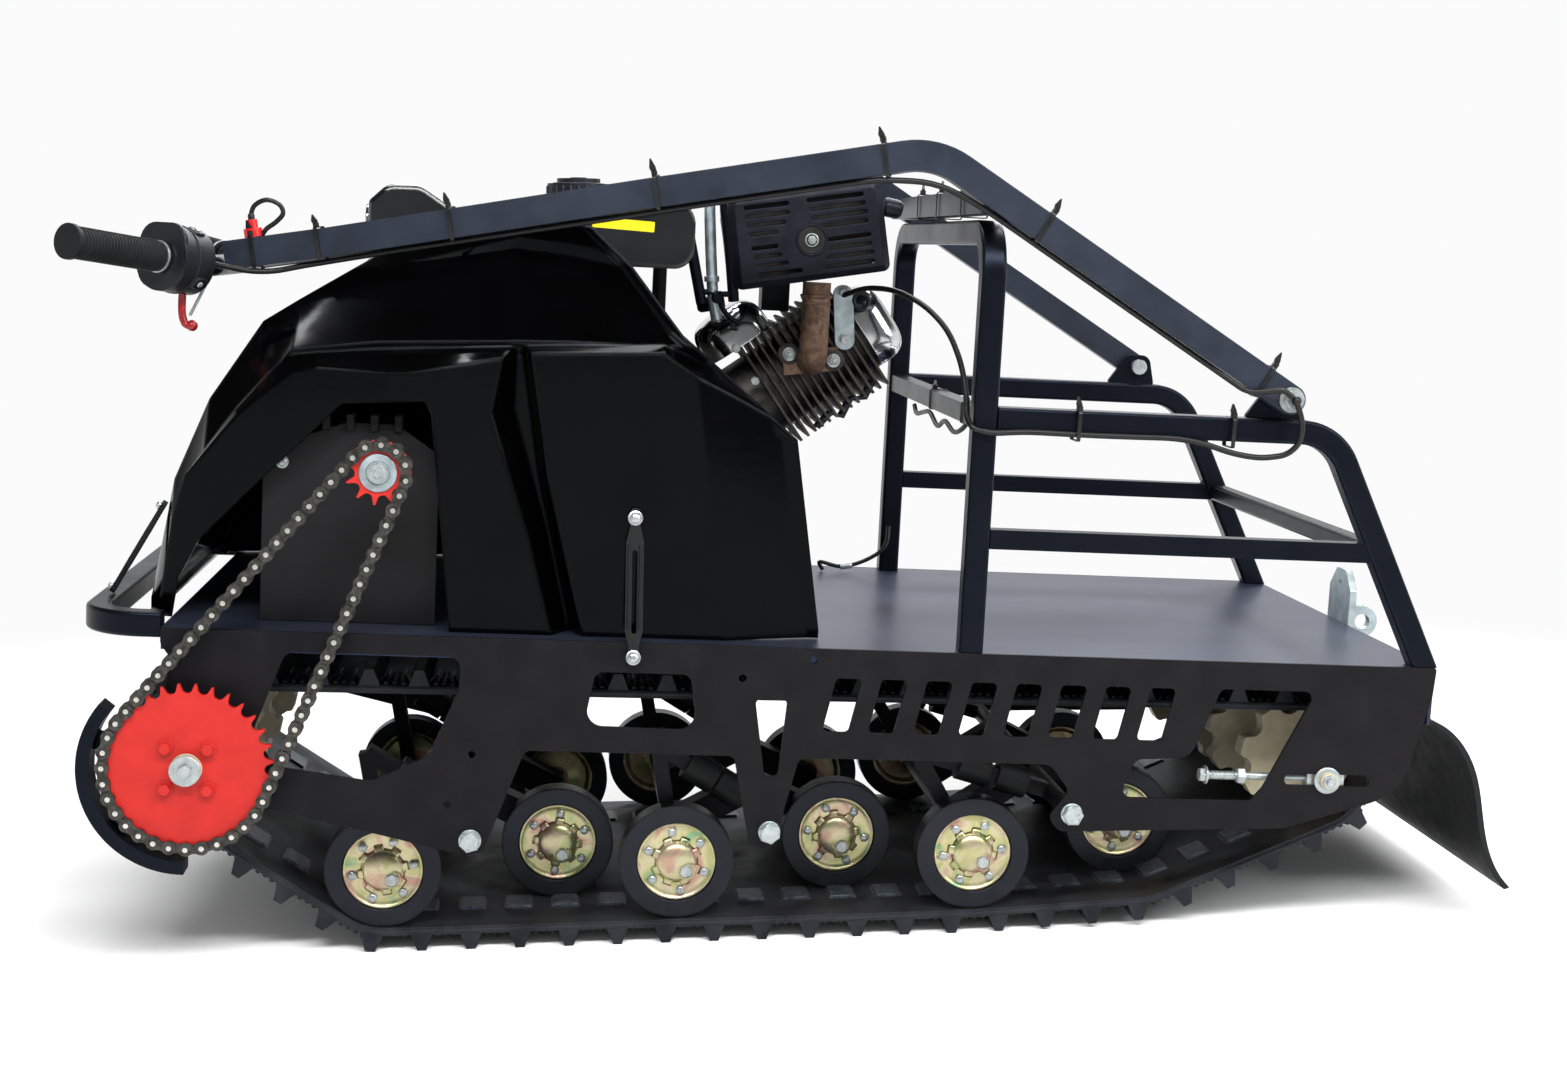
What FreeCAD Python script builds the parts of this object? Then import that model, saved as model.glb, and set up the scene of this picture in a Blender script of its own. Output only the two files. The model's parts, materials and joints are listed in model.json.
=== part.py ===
import FreeCAD, Part
import math
import os

from FreeCAD import Placement, Rotation, Vector

# Tracked snow towing vehicle with a folding drawbar.
#
# Chassis frame: +X forward, +Y to the vehicle's left, +Z up, with its zero on the top face of the
# deck, in the plane of the front hoop, midway between the side plates.  The chassis sits nose-up on
# its track, so the whole assembly is raked and lifted at the end until the track lies flat on the
# ground at Z = 0, with the origin below the middle of its length.

SIZES = [
    # alias, value, what it is (millimetres and degrees)
    ("rake_angle", 3.0, "nose-up angle of the deck over flat ground"),
    ("half_width", 300.0, "outer face of a side plate from the middle plane"),
    ("plate_thickness", 4.0, "side plate sheet"),
    ("front_reach", 812.0, "side plate and deck ahead of the front hoop"),
    ("rear_reach", 496.0, "side plate and deck behind the front hoop"),
    ("deck_thickness", 3.0, "deck sheet"),
    ("deck_lip", 22.0, "turned-down edge of the deck"),
    ("seat_gap", 0.3, "gap left where a piece seats on another"),
    ("running_gap", 0.1, "radial clearance of a pin in its hole"),
    # track
    ("track_width", 500.0, "width of the rubber track"),
    ("belt_thickness", 8.0, "track belt"),
    ("lug_height", 17.0, "track lug"),
    ("lug_pitch", 50.5, "distance from lug to lug"),
    ("lug_root", 22.0, "length of a lug at the belt"),
    ("lug_tip", 9.0, "length of a lug at its tip"),
    ("drive_ahead", 781.0, "drive axle ahead of the hoop"),
    ("drive_below", 136.0, "drive axle below the deck"),
    ("idler_behind", 387.0, "idler axle behind the hoop"),
    ("idler_below", 123.0, "idler axle below the deck"),
    ("star_radius", 64.0, "inside radius of the track round a star wheel"),
    ("star_teeth", 8.0, "teeth of a star wheel"),
    ("star_thickness", 22.0, "star wheel thickness"),
    ("axle_diameter", 25.0, "drive and idler axle"),
    ("slot_bolt", 12.0, "bolt of the idler axle through the plate's slot"),
    ("slot_length", 92.0, "slot that the idler axle is adjusted along"),
    # road wheels and bogies
    ("wheel_diameter", 120.0, "road wheel over its rubber tyre"),
    ("wheel_width", 26.0, "road wheel tyre width"),
    ("disc_diameter", 84.0, "zinc-plated wheel disc"),
    ("disc_width", 20.0, "wheel disc over its hub"),
    ("outboard_face", 245.0, "outer face of an outboard wheel from the middle plane"),
    ("inboard_face", 156.0, "outer face of an inboard wheel from the middle plane"),
    ("bogie_first", 503.0, "front bogie pivot ahead of the hoop"),
    ("front_pitch", 304.0, "front bogie pivot to the middle one"),
    ("rear_pitch", 315.0, "middle bogie pivot to the rear one"),
    ("wheel_spread", 90.0, "road wheel axle ahead of or behind its bogie pivot"),
    ("wheel_line", 227.0, "road wheel axles below the deck, at the hoop"),
    ("tail_wheel_rise", 8.0, "how far the last wheel axle is carried higher"),
    ("tail_pivot_rise", 6.0, "how far the last bogie pivot is carried higher over its axles"),
    ("pivot_rise", 45.0, "bogie pivot above its wheel axles"),
    ("bogie_axle", 20.0, "bogie cross axle diameter"),
    ("wheel_axle", 16.0, "road wheel axle diameter"),
    ("arm_side", 30.0, "bogie arm section"),
    ("lever_width", 16.0, "rocking lever over the outboard wheel, in side view"),
    ("lever_depth", 20.0, "rocking lever, across the vehicle"),
    ("lever_line", 200.0, "rocking levers from the middle plane"),
    ("bump_diameter", 34.0, "rubber bump stop"),
    ("bump_length", 34.0, "rubber bump stop"),
    # chain drive
    ("chain_pitch", 15.875, "roller chain pitch"),
    ("chain_links", 66.0, "links in the chain"),
    ("big_teeth", 32.0, "teeth of the driven sprocket"),
    ("small_teeth", 11.0, "teeth of the driving sprocket"),
    ("chain_lean", 120.7, "direction from the driven to the driving sprocket"),
    ("chain_plane", 320.0, "middle of the chain from the middle plane"),
    ("sprocket_thickness", 6.0, "sprocket plate"),
    ("roller_diameter", 10.16, "chain roller"),
    ("link_height", 14.0, "chain side plate height"),
    ("link_thickness", 1.8, "chain side plate thickness"),
    ("link_inner", 8.4, "gap between the chain's inner side plates"),
    ("link_waist", 9.4, "chain side plate height between its pins"),
    ("pin_diameter", 5.0, "chain pin"),
    ("pin_stand", 0.9, "chain pin beyond its side plates"),
    ("guard_radius", 92.0, "inside radius of the chain guard"),
    ("guard_depth", 13.0, "radial depth of the chain guard"),
    ("guard_width", 30.0, "chain guard width"),
    # rack and drawbar
    ("rack_half_width", 286.0, "middle of the rack tubes from the middle plane"),
    ("tube_side", 25.0, "square tube of the hoop, rails and bumper"),
    ("rail_side", 20.0, "square tube of the middle rails"),
    ("hoop_height", 428.0, "middle of the hoop's top bar above the deck"),
    ("hoop_bend", 45.0, "bend radius of the hoop"),
    ("top_rail_height", 241.0, "middle of the top rail above the deck"),
    ("mid_rail_height", 118.0, "middle of the middle rail above the deck"),
    ("rail_corner", 366.0, "bend of the top rail behind the hoop"),
    ("rail_foot", 482.0, "foot of the sloping post behind the hoop"),
    ("rail_bend", 55.0, "bend radius of the top rail"),
    ("pivot_behind", 310.0, "drawbar pivot behind the hoop"),
    ("pivot_above", 275.0, "drawbar pivot above the deck"),
    ("ear_thickness", 6.0, "pivot ear plate"),
    ("pivot_bolt", 12.0, "drawbar pivot bolt diameter"),
    ("drawbar_tube", 30.0, "drawbar tube, height"),
    ("drawbar_wall", 20.0, "drawbar tube, width"),
    ("drawbar_half_width", 306.0, "middle of a drawbar tube at its pivot"),
    ("drawbar_nose", 129.0, "middle of a drawbar tube at its front end"),
    ("peak_ahead", 69.0, "top bend of the drawbar ahead of the hoop"),
    ("peak_level", 503.0, "top bend of the drawbar above the deck"),
    ("fold_clearance", 5.5, "drawbar's cross tube over the hoop"),
    ("cable_diameter", 6.0, "throttle cable"),
    ("cable_plane", 332.0, "throttle cable where it crosses the pivot axis"),
    ("hitch_plate", 8.0, "tow hitch plate"),
    ("eye_thickness", 12.0, "towing eye"),
    ("eye_bore", 18.0, "hole of the towing eye"),
    ("eye_reach", 28.0, "middle of the towing eye behind the deck"),
    ("engine_tilt", 36.0, "cylinder axis over the deck, rising to the rear"),
    ("crank_ahead", 308.0, "crankshaft ahead of the hoop"),
    ("crank_above", 159.0, "crankshaft above the deck"),
    ("case_reach", 86.0, "crankshaft to the cylinder's seat on the crankcase"),
    ("barrel_reach", 262.0, "crankshaft to the top face of the cylinder head"),
    ("fin_start", 138.0, "crankshaft to the first cooling fin"),
    ("fin_pitch", 9.6, "distance from fin to fin"),
    ("fin_count", 13.0, "cooling fins"),
    ("fin_thickness", 3.0, "cooling fin"),
    ("silencer_gap", 5.0, "air between the silencer and its guard"),
    ("guard_sheet", 2.0, "sheet of the silencer's guard"),
    ("louvre_pitch", 9.5, "distance from louvre to louvre"),
    ("louvre_height", 4.8, "louvre of the silencer's guard"),
    ("fin_width", 122.0, "cooling fin, side to side"),
    ("fin_depth", 124.0, "cooling fin, top to bottom"),
    ("hood_wall", 4.0, "hood shell"),
    ("hood_flank", 243.0, "hood flank between its raised panels, from the middle plane"),
    ("lamp_width", 104.0, "headlamp, width"),
    ("hood_face", 274.0, "face of the hood's raised panels from the middle plane"),
    ("grip_diameter", 30.0, "rubber grip"),
    ("grip_length", 118.0, "rubber grip"),
    ("bar_end_ahead", 899.0, "end of the handlebar ahead of the hoop"),
    ("bar_end_half_width", 312.0, "end of the handlebar from the middle plane"),
    ("bar_end_level", 373.0, "end of the handlebar above the deck"),
    ("bar_bend_ahead", 790.0, "bend of the handlebar ahead of the hoop"),
    ("bar_bend_half_width", 153.0, "bend of the handlebar from the middle plane"),
    ("bar_bend_level", 354.0, "middle of the handlebar above the deck"),
    ("bar_diameter", 22.0, "handlebar tube"),
]


def make_sheet(doc):
    """Spreadsheet of the driving dimensions."""
    sheet = doc.addObject("Spreadsheet::Sheet", "sizes")
    for row, (alias, value, words) in enumerate(SIZES, start=1):
        sheet.set(f"A{row}", words)
        sheet.set(f"B{row}", str(value))
        sheet.setAlias(f"B{row}", alias)
    doc.recompute()
    return sheet


doc = FreeCAD.newDocument("towing_vehicle")
sheet = make_sheet(doc)
PARTS = []


def size(alias):
    """Value of one driving dimension."""
    return float(sheet.get(alias))


# ---------------------------------------------------------------- drawing helpers


def rounded(corners, closed=True):
    """Lines and tangent arcs through corners given as (u, v) or (u, v, radius)."""
    count = len(corners)
    ends = []
    for i, corner in enumerate(corners):
        here = Vector(corner[0], corner[1], 0)
        radius = corner[2] if len(corner) > 2 else 0
        inner = closed or 0 < i < count - 1
        if not inner or radius <= 0:
            ends.append((here, None, here))
            continue
        before = Vector(*corners[i - 1][:2], 0) - here
        after = Vector(*corners[(i + 1) % count][:2], 0) - here
        before.normalize()
        after.normalize()
        half = math.acos(max(-1.0, min(1.0, before.dot(after)))) / 2
        reach = radius / math.tan(half)
        axis = before + after
        axis.normalize()
        middle = here + axis * (radius / math.sin(half) - radius)
        ends.append((here + before * reach, middle, here + after * reach))
    pieces = []
    for i in range(count):
        first, middle, last = ends[i]
        if middle is not None:
            pieces.append(Part.Arc(first, middle, last))
        if i == count - 1 and not closed:
            break
        following = ends[(i + 1) % count][0]
        if (following - last).Length > 1e-6:
            pieces.append(Part.LineSegment(last, following))
    return pieces


def circle(u, v, radius):
    return [Part.Circle(Vector(u, v, 0), Vector(0, 0, 1), radius)]


def new_body(label):
    """A body that becomes one file."""
    body = doc.addObject("PartDesign::Body", label)
    body.Label = label
    PARTS.append(body)
    return body


def sketch_on(body, role, offset, *outlines):
    """Sketch on one of the body's own origin planes, moved by offset along its normal."""
    plane = next(f for f in body.Origin.OriginFeatures if f.Role == role)
    sketch = body.newObject("Sketcher::SketchObject", "outline")
    sketch.AttachmentSupport = [(plane, "")]
    sketch.MapMode = "FlatFace"
    if isinstance(offset, str):
        sketch.setExpression(".AttachmentOffset.Base.z", offset)
    else:
        sketch.AttachmentOffset = Placement(Vector(0, 0, offset), Rotation())
    for outline in outlines:
        sketch.addGeometry(outline, False)
    return sketch


def pad(body, sketch, length):
    """Pad bound to an expression."""
    feature = body.newObject("PartDesign::Pad", "pad")
    feature.Profile = sketch
    feature.setExpression("Length", length)
    return feature


def side_pad(body, face, length, *outlines):
    """Pad an XZ outline from Y = face towards the right by length; both are expressions."""
    return pad(body, sketch_on(body, "XZ_Plane", f"-({face})", *outlines), length)


def cross_pad(body, station, length, *outlines):
    """Pad a YZ outline forwards from X = station."""
    return pad(body, sketch_on(body, "YZ_Plane", station, *outlines), length)


def square_pipe(body, role, offset, path, profile_role, profile_offset, profile):
    """Sweep a section along a bent path drawn on an origin plane."""
    spine = sketch_on(body, role, offset, path)
    section = sketch_on(body, profile_role, profile_offset, profile)
    pipe = body.newObject("PartDesign::AdditivePipe", "pipe")
    pipe.Profile = section
    pipe.Spine = (spine, [])
    return pipe


def square(u, v, side, corner=4.0):
    """Square tube section with rounded edges."""
    half = side / 2
    return rounded([
        (u - half, v - half, corner),
        (u + half, v - half, corner),
        (u + half, v + half, corner),
        (u - half, v + half, corner),
    ])


def cylinder(radius, height, base, direction):
    """Part cylinder bound to expressions, standing at base along direction."""
    rod = doc.addObject("Part::Cylinder", "rod")
    rod.setExpression("Radius", radius)
    rod.setExpression("Height", height)
    rod.Placement = Placement(base, Rotation(Vector(0, 0, 1), direction))
    return rod


def box(length, width, height, corner, turn=None):
    """Part box bound to expressions, with its lowest corner at corner."""
    block = doc.addObject("Part::Box", "block")
    block.setExpression("Length", str(length))
    block.setExpression("Width", str(width))
    block.setExpression("Height", str(height))
    block.Placement = Placement(corner, turn or Rotation())
    return block


def join(label, pieces):
    """Fuse pieces into one sub-part."""
    fused = doc.addObject("Part::MultiFuse", label)
    fused.Shapes = pieces
    fused.Label = label
    PARTS.append(fused)
    return fused


def gather(label, pieces):
    """Like pieces that don't touch, kept in one sub-part."""
    group = doc.addObject("Part::Compound", label)
    group.Links = pieces
    group.Label = label
    PARTS.append(group)
    return group


def cut(base, tool, label=None):
    result = doc.addObject("Part::Cut", label or "cut")
    result.Base = base
    result.Tool = tool
    if label:
        result.Label = label
        PARTS.append(result)
    return result


def free_shape(label, shape):
    """A sub-part whose form neither a body nor the primitives give."""
    feature = doc.addObject("Part::Feature", label)
    feature.Label = label
    feature.Shape = shape
    PARTS.append(feature)
    return feature


# ---------------------------------------------------------------- belts round circles


def belt_path(circles, offset=0.0):
    """Tangent lines and arcs round circles (x, z, radius) given counter-clockwise."""
    runs = []
    count = len(circles)
    for i in range(count):
        x1, z1, r1 = circles[i]
        x2, z2, r2 = circles[(i + 1) % count]
        span = math.hypot(x2 - x1, z2 - z1)
        ahead = ((x2 - x1) / span, (z2 - z1) / span)
        along = (r1 - r2) / span
        across = math.sqrt(1 - along * along)
        normal = (along * ahead[0] + across * ahead[1], along * ahead[1] - across * ahead[0])
        runs.append(normal)
    pieces = []
    for i in range(count):
        x, z, r = circles[i]
        radius = r + offset
        start = math.atan2(runs[i - 1][1], runs[i - 1][0])
        turn = (math.atan2(runs[i][1], runs[i][0]) - start) % (2 * math.pi)
        pieces.append(("arc", (x, z), radius, start, turn))
        following = circles[(i + 1) % count]
        leave = (x + radius * runs[i][0], z + radius * runs[i][1])
        reach = following[2] + offset
        arrive = (following[0] + reach * runs[i][0], following[1] + reach * runs[i][1])
        pieces.append(("line", leave, arrive, runs[i]))
    return pieces


def piece_length(piece):
    if piece[0] == "arc":
        return piece[2] * piece[4]
    return math.hypot(piece[2][0] - piece[1][0], piece[2][1] - piece[1][1])


def path_length(pieces):
    return sum(piece_length(piece) for piece in pieces)


def point_on(pieces, distance):
    """Point and outward normal at a distance along a belt path."""
    distance %= path_length(pieces)
    for piece in pieces:
        length = piece_length(piece)
        if distance <= length:
            break
        distance -= length
    if piece[0] == "arc":
        angle = piece[3] + distance / piece[2]
        normal = (math.cos(angle), math.sin(angle))
        centre = piece[1]
        return (centre[0] + piece[2] * normal[0], centre[1] + piece[2] * normal[1]), normal
    share = distance / length
    start, end = piece[1], piece[2]
    return (start[0] + share * (end[0] - start[0]), start[1] + share * (end[1] - start[1])), piece[3]


def path_geometry(pieces):
    """Sketch lines and arcs of a belt path."""
    drawn = []
    for piece in pieces:
        if piece[0] == "arc":
            centre, radius, start, turn = piece[1:]
            if radius * turn < 1e-6:
                continue
            spots = [
                Vector(centre[0] + radius * math.cos(a), centre[1] + radius * math.sin(a), 0)
                for a in (start, start + turn / 2, start + turn)
            ]
            drawn.append(Part.Arc(*spots))
        else:
            drawn.append(Part.LineSegment(Vector(*piece[1], 0), Vector(*piece[2], 0)))
    return drawn


# ---------------------------------------------------------------- places that pieces share


def bogie_stations():
    first = size("bogie_first")
    middle = first - size("front_pitch")
    return [first, middle, middle - size("rear_pitch")]


def wheel_level(x, last=False):
    """Height of a road wheel axle; the wheels run on a line that is flat on the ground."""
    level = -size("wheel_line") - x * math.tan(math.radians(size("rake_angle")))
    return level + (size("tail_wheel_rise") if last else 0)


def wheel_centres():
    """Front and rear wheel axle of each bogie, front bogie first."""
    spread = size("wheel_spread")
    pairs = []
    for i, x in enumerate(bogie_stations()):
        front = (x + spread, wheel_level(x + spread))
        rear = (x - spread, wheel_level(x - spread, i == 2))
        pairs.append((front, rear))
    return pairs


def pivot_level(i):
    (front, rear) = wheel_centres()[i]
    return (front[1] + rear[1]) / 2 + size("pivot_rise") + (size("tail_pivot_rise") if i == 2 else 0)


def track_circles():
    """Circles that the inside of the belt rests on, counter-clockwise seen with +X to the right."""
    star = size("star_radius")
    wheel = size("wheel_diameter") / 2 + size("seat_gap")
    drive = (size("drive_ahead"), -size("drive_below"), star)
    idler = (-size("idler_behind"), -size("idler_below"), star)
    first = wheel_centres()[0][0]
    before_last = wheel_centres()[2][0]
    last = wheel_centres()[2][1]
    return [
        drive,
        idler,
        (last[0], last[1], wheel),
        (before_last[0], before_last[1], wheel),
        (first[0], first[1], wheel),
    ]


def sprocket_radius(teeth):
    """Radius on which a sprocket of that many teeth carries the chain's pins."""
    return teeth * size("chain_pitch") / (2 * math.pi)


def chain_circles():
    """Driven and driving sprocket, the second placed so that the chain has whole links."""
    big = sprocket_radius(size("big_teeth"))
    small = sprocket_radius(size("small_teeth"))
    target = size("chain_links") * size("chain_pitch")
    lean = math.radians(size("chain_lean"))
    start = (size("drive_ahead"), -size("drive_below"))
    low, high = big + small, target
    for _ in range(60):
        span = (low + high) / 2
        spot = (start[0] + span * math.cos(lean), start[1] + span * math.sin(lean))
        circles = [(start[0], start[1], big), (spot[0], spot[1], small)]
        if path_length(belt_path(circles)) < target:
            low = span
        else:
            high = span
    return circles


def chain_pins():
    """Centre of every pin, evenly spaced along the pitch line."""
    path = belt_path(chain_circles())
    pitch = size("chain_pitch")
    return [point_on(path, i * pitch)[0] for i in range(int(size("chain_links")))]


# ---------------------------------------------------------------- chassis


def plate_outline():
    """Side plate seen from its left side: top, rear corner, three legs and the axle boss."""
    front, rear = size("front_reach"), size("rear_reach")
    axle_x, axle_z = size("drive_ahead"), -size("drive_below")
    legs = [(x, pivot_level(i)) for i, x in enumerate(bogie_stations())]
    waist = -114
    return rounded([
        (front, 0, 3),
        (front, -16, 12),
        (axle_x + 18, -34, 20),
        (axle_x + 45, axle_z + 10, 30),
        (axle_x + 22, axle_z - 45, 30),
        (axle_x - 80, axle_z - 44, 20),
        (legs[0][0] + 4, legs[0][1] - 16, 6),
        (legs[0][0] - 14, legs[0][1] - 10, 10),
        (legs[0][0] - 52, waist, 10),
        (legs[1][0] + 40, waist, 8),
        (legs[1][0] + 20, legs[1][1] - 14, 12),
        (legs[1][0] - 4, legs[1][1] - 20, 10),
        (legs[1][0] - 27, waist, 10),
        (legs[2][0] + 26, waist, 16),
        (legs[2][0] + 4, legs[2][1] + 24, 8),
        (legs[2][0] + 25, legs[2][1] - 4, 10),
        (legs[2][0] + 12, legs[2][1] - 19, 10),
        (-rear + 150, -176, 60),
        (-rear + 28, -136, 60),
        (-rear + 2, -30, 20),
        (-rear, 0, 3),
    ])


def plate_windows():
    """Cut-outs and holes of a side plate."""
    windows = [
        rounded([
            (690, -20, 14), (518, -20, 12), (519, -54, 12), (548, -124, 26),
            (604, -150, 30), (700, -137, 10), (720, -100, 12),
        ]),
        rounded([(383, -31, 10), (287, -31, 10), (278, -88, 16), (393, -87, 16)]),
        rounded([(220, -54, 5), (187, -54, 5), (193, -134, 6), (207, -134, 6)]),
        rounded([
            (-266, -29, 8), (-368, -29, 8), (-318, -133, 10), (-306, -147, 8),
            (-164, -147, 10), (-180, -106, 12), (-238, -103, 20),
        ]),
    ]
    slot_count, slot_pitch, slot_width, slot_lean = 8, 47, 27, 12
    for i in range(slot_count):
        left = 138 - i * slot_pitch
        windows.append(rounded([
            (left, -30, 5), (left - slot_width, -30, 5),
            (left - slot_width + slot_lean, -86, 5), (left + slot_lean, -86, 5),
        ]))
    for x, z in ((234, -33), (162, -12), (504, -120), (527, -172)):
        windows.append(circle(x, z, 4))
    bearing = size("axle_diameter") / 2 + size("running_gap")
    windows.append(circle(size("drive_ahead"), -size("drive_below"), bearing))
    idler_x, idler_z = -size("idler_behind"), -size("idler_below")
    half_slot, end = size("slot_length") / 2, size("slot_bolt") / 2 + size("running_gap")
    windows.append(rounded([
        (idler_x - half_slot, idler_z - end, end - 0.05), (idler_x + half_slot, idler_z - end, end - 0.05),
        (idler_x + half_slot, idler_z + end, end - 0.05), (idler_x - half_slot, idler_z + end, end - 0.05),
    ]))
    return windows


def side_plate(label, face):
    body = new_body(label)
    side_pad(body, face, "sizes.plate_thickness", plate_outline(), *plate_windows())


def deck():
    """Deck sheet between the plates with its long edges turned down."""
    body = new_body("deck")
    inner = size("half_width") - size("plate_thickness")
    sheet_t, lip = size("deck_thickness"), size("deck_lip")
    section = rounded([
        (-inner, 0), (-inner, -lip), (-inner + sheet_t, -lip), (-inner + sheet_t, -sheet_t),
        (inner - sheet_t, -sheet_t), (inner - sheet_t, -lip), (inner, -lip), (inner, 0),
    ])
    cross_pad(body, "-sizes.rear_reach", "sizes.front_reach + sizes.rear_reach", section)
    tail = rounded([
        (-inner + sheet_t, -sheet_t), (-inner + sheet_t, -62), (inner - sheet_t, -62),
        (inner - sheet_t, -sheet_t),
    ])
    cross_pad(body, "-sizes.rear_reach", "sizes.deck_thickness", tail)


def front_bumper():
    """Square tube loop round the nose, its ends welded to the fronts of the plates."""
    body = new_body("front_bumper")
    side, reach = size("rack_half_width"), 895
    tube = size("tube_side")
    start = size("front_reach") + size("seat_gap")
    nose = reach - tube / 2
    path = rounded([(start, side), (nose, side, 50), (nose, -side, 50), (start, -side)], False)
    square_pipe(body, "XY_Plane", 2.0, path, "YZ_Plane", start, square(side, 2.0, tube))


def front_hoop():
    """Arch across the deck with one cross bar."""
    body = new_body("front_hoop")
    half, top = size("rack_half_width"), size("hoop_height")
    tube, gap, bend = size("tube_side"), size("seat_gap"), size("hoop_bend")
    path = rounded([(half, gap), (half, top, bend), (-half, top, bend), (-half, gap)], False)
    square_pipe(body, "YZ_Plane", 0.0, path, "XY_Plane", gap, square(0, half, tube))
    rail = size("top_rail_height")
    bar = rounded([(-half, rail - 10), (half, rail - 10), (half, rail + 10), (-half, rail + 10)])
    cross_pad(body, "-10", "20", bar)


def rack_rail(label, side):
    """Top rail with its sloping post, middle rail and the ear of the drawbar pivot."""
    body = new_body(label)
    tube, gap = size("tube_side"), size("seat_gap")
    middle = side * size("rack_half_width")
    start = -tube / 2 - gap
    top, low = size("top_rail_height"), size("mid_rail_height")
    corner, foot = -size("rail_corner"), -size("rail_foot")
    path = rounded([(start, top), (corner, top, size("rail_bend")), (foot - 8, -12)], False)
    square_pipe(body, "XZ_Plane", -middle, path, "YZ_Plane", start, square(middle, top, tube))
    half = size("rail_side") / 2
    reach = foot + (corner - foot) * low / top
    bar = rounded([(start, low - half), (start, low + half), (reach, low + half), (reach, low - half)])
    side_pad(body, f"{middle + half}", "sizes.rail_side", bar)
    pivot_x, pivot_z = -size("pivot_behind"), size("pivot_above")
    ear = rounded([
        (pivot_x + 40, top + tube / 2 - 1, 3), (pivot_x + 14, pivot_z + 15, 12),
        (pivot_x - 14, pivot_z + 15, 12), (pivot_x - 22, top + tube / 2 - 1, 3),
    ])
    bore = circle(pivot_x, pivot_z, size("pivot_bolt") / 2 + size("running_gap"))
    side_pad(body, f"{middle} + sizes.ear_thickness / 2", "sizes.ear_thickness", ear, bore)
    doc.recompute()
    below = rounded([(foot - 60, gap), (foot + 60, gap), (foot + 60, -60), (foot - 60, -60)])
    trim = body.newObject("PartDesign::Pocket", "trim")
    trim.Profile = sketch_on(body, "XZ_Plane", float(-middle - tube), below)
    trim.Length = 2 * tube
    trim.Reversed = True


def rack_cross_bar():
    """Bar across the rear between the sloping posts, at the height of the middle rails."""
    body = new_body("rack_cross_bar")
    low, top = size("mid_rail_height"), size("top_rail_height")
    corner, foot = -size("rail_corner"), -size("rail_foot")
    x = foot + (corner - foot) * low / top
    inner = size("rack_half_width") - size("tube_side") / 2 - size("seat_gap")
    side_pad(body, f"{inner}", f"{2 * inner}", square(x, low, size("rail_side")))


def pivot_bolts():
    """Bolt through each ear and drawbar tube, with a spacer between them and its nut inside."""
    x, z = -size("pivot_behind"), size("pivot_above")
    gap = size("seat_gap")
    outer = size("drawbar_half_width") + size("drawbar_wall") / 2 + gap
    inner = outer - size("drawbar_wall") - 2 * gap
    ear = size("rack_half_width") + size("ear_thickness") / 2 + gap
    nut = ear - size("ear_thickness") - 2 * gap - 9
    rods = []
    for side in (1, -1):
        outward = Vector(0, side, 0)

        def ring(radius, start, length):
            return cylinder(radius, f"{length}", Vector(x, side * start, z), outward)

        fused = doc.addObject("Part::MultiFuse", "bolt")
        fused.Shapes = [
            ring("sizes.pivot_bolt / 2", nut, outer + 8 - nut),
            ring("9.5", outer + 2, 7),
            ring("13", outer, 2),
            ring("11", ear, inner - ear),
            ring("9.5", nut, 9),
        ]
        rods.append(fused)
    gather("pivot_bolts", rods)


def tow_hitch():
    """Plate on the rear edge of the deck with the towing eye standing out behind it."""
    body = new_body("tow_hitch")
    face = -size("rear_reach") - size("seat_gap")
    thick, reach = size("hitch_plate"), size("eye_reach")
    plate = rounded([
        (-34, -24, 6), (34, -24, 6), (34, 40, 4), (14, 62, 6), (-14, 62, 6), (-34, 40, 4),
    ])
    cross_pad(body, face - thick, "sizes.hitch_plate", plate, circle(0, 44, 4))
    outer = size("eye_bore") / 2 + 9
    eye = rounded([
        (face - thick + 1, -outer, 1), (face - reach - outer, -outer, outer - 0.5),
        (face - reach - outer, outer, outer - 0.5), (face - thick + 1, outer, 1),
    ])
    bore = circle(face - reach, 0, size("eye_bore") / 2)
    side_pad(body, "sizes.eye_thickness / 2", "sizes.eye_thickness", eye, bore)


def mud_flap():
    """Rubber flap that curves down and back behind the track."""
    body = new_body("mud_flap")
    rear = -size("rear_reach")
    gap = size("seat_gap")
    inner = [(rear - gap, -62), (rear - 12, -66), (rear - 54, -112), (rear - 72, -180), (rear - 106, -243)]
    thick, top = 6, -28
    outer = [(x - thick, z + thick * 0.4) for x, z in inner]
    knots = [Vector(x, z, 0) for x, z in inner]
    back = [Vector(x, z, 0) for x, z in reversed(outer)]
    front_curve = Part.BSplineCurve()
    front_curve.interpolate(knots)
    back_curve = Part.BSplineCurve()
    back_curve.interpolate(back)
    head = [Vector(outer[0][0], top, 0), Vector(inner[0][0], top, 0)]
    edges = [
        front_curve, Part.LineSegment(knots[-1], back[0]), back_curve,
        Part.LineSegment(back[-1], head[0]), Part.LineSegment(head[0], head[1]),
        Part.LineSegment(head[1], knots[0]),
    ]
    side_pad(body, "sizes.half_width - 20", "2 * (sizes.half_width - 20)", edges)


# ---------------------------------------------------------------- track and running gear


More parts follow.
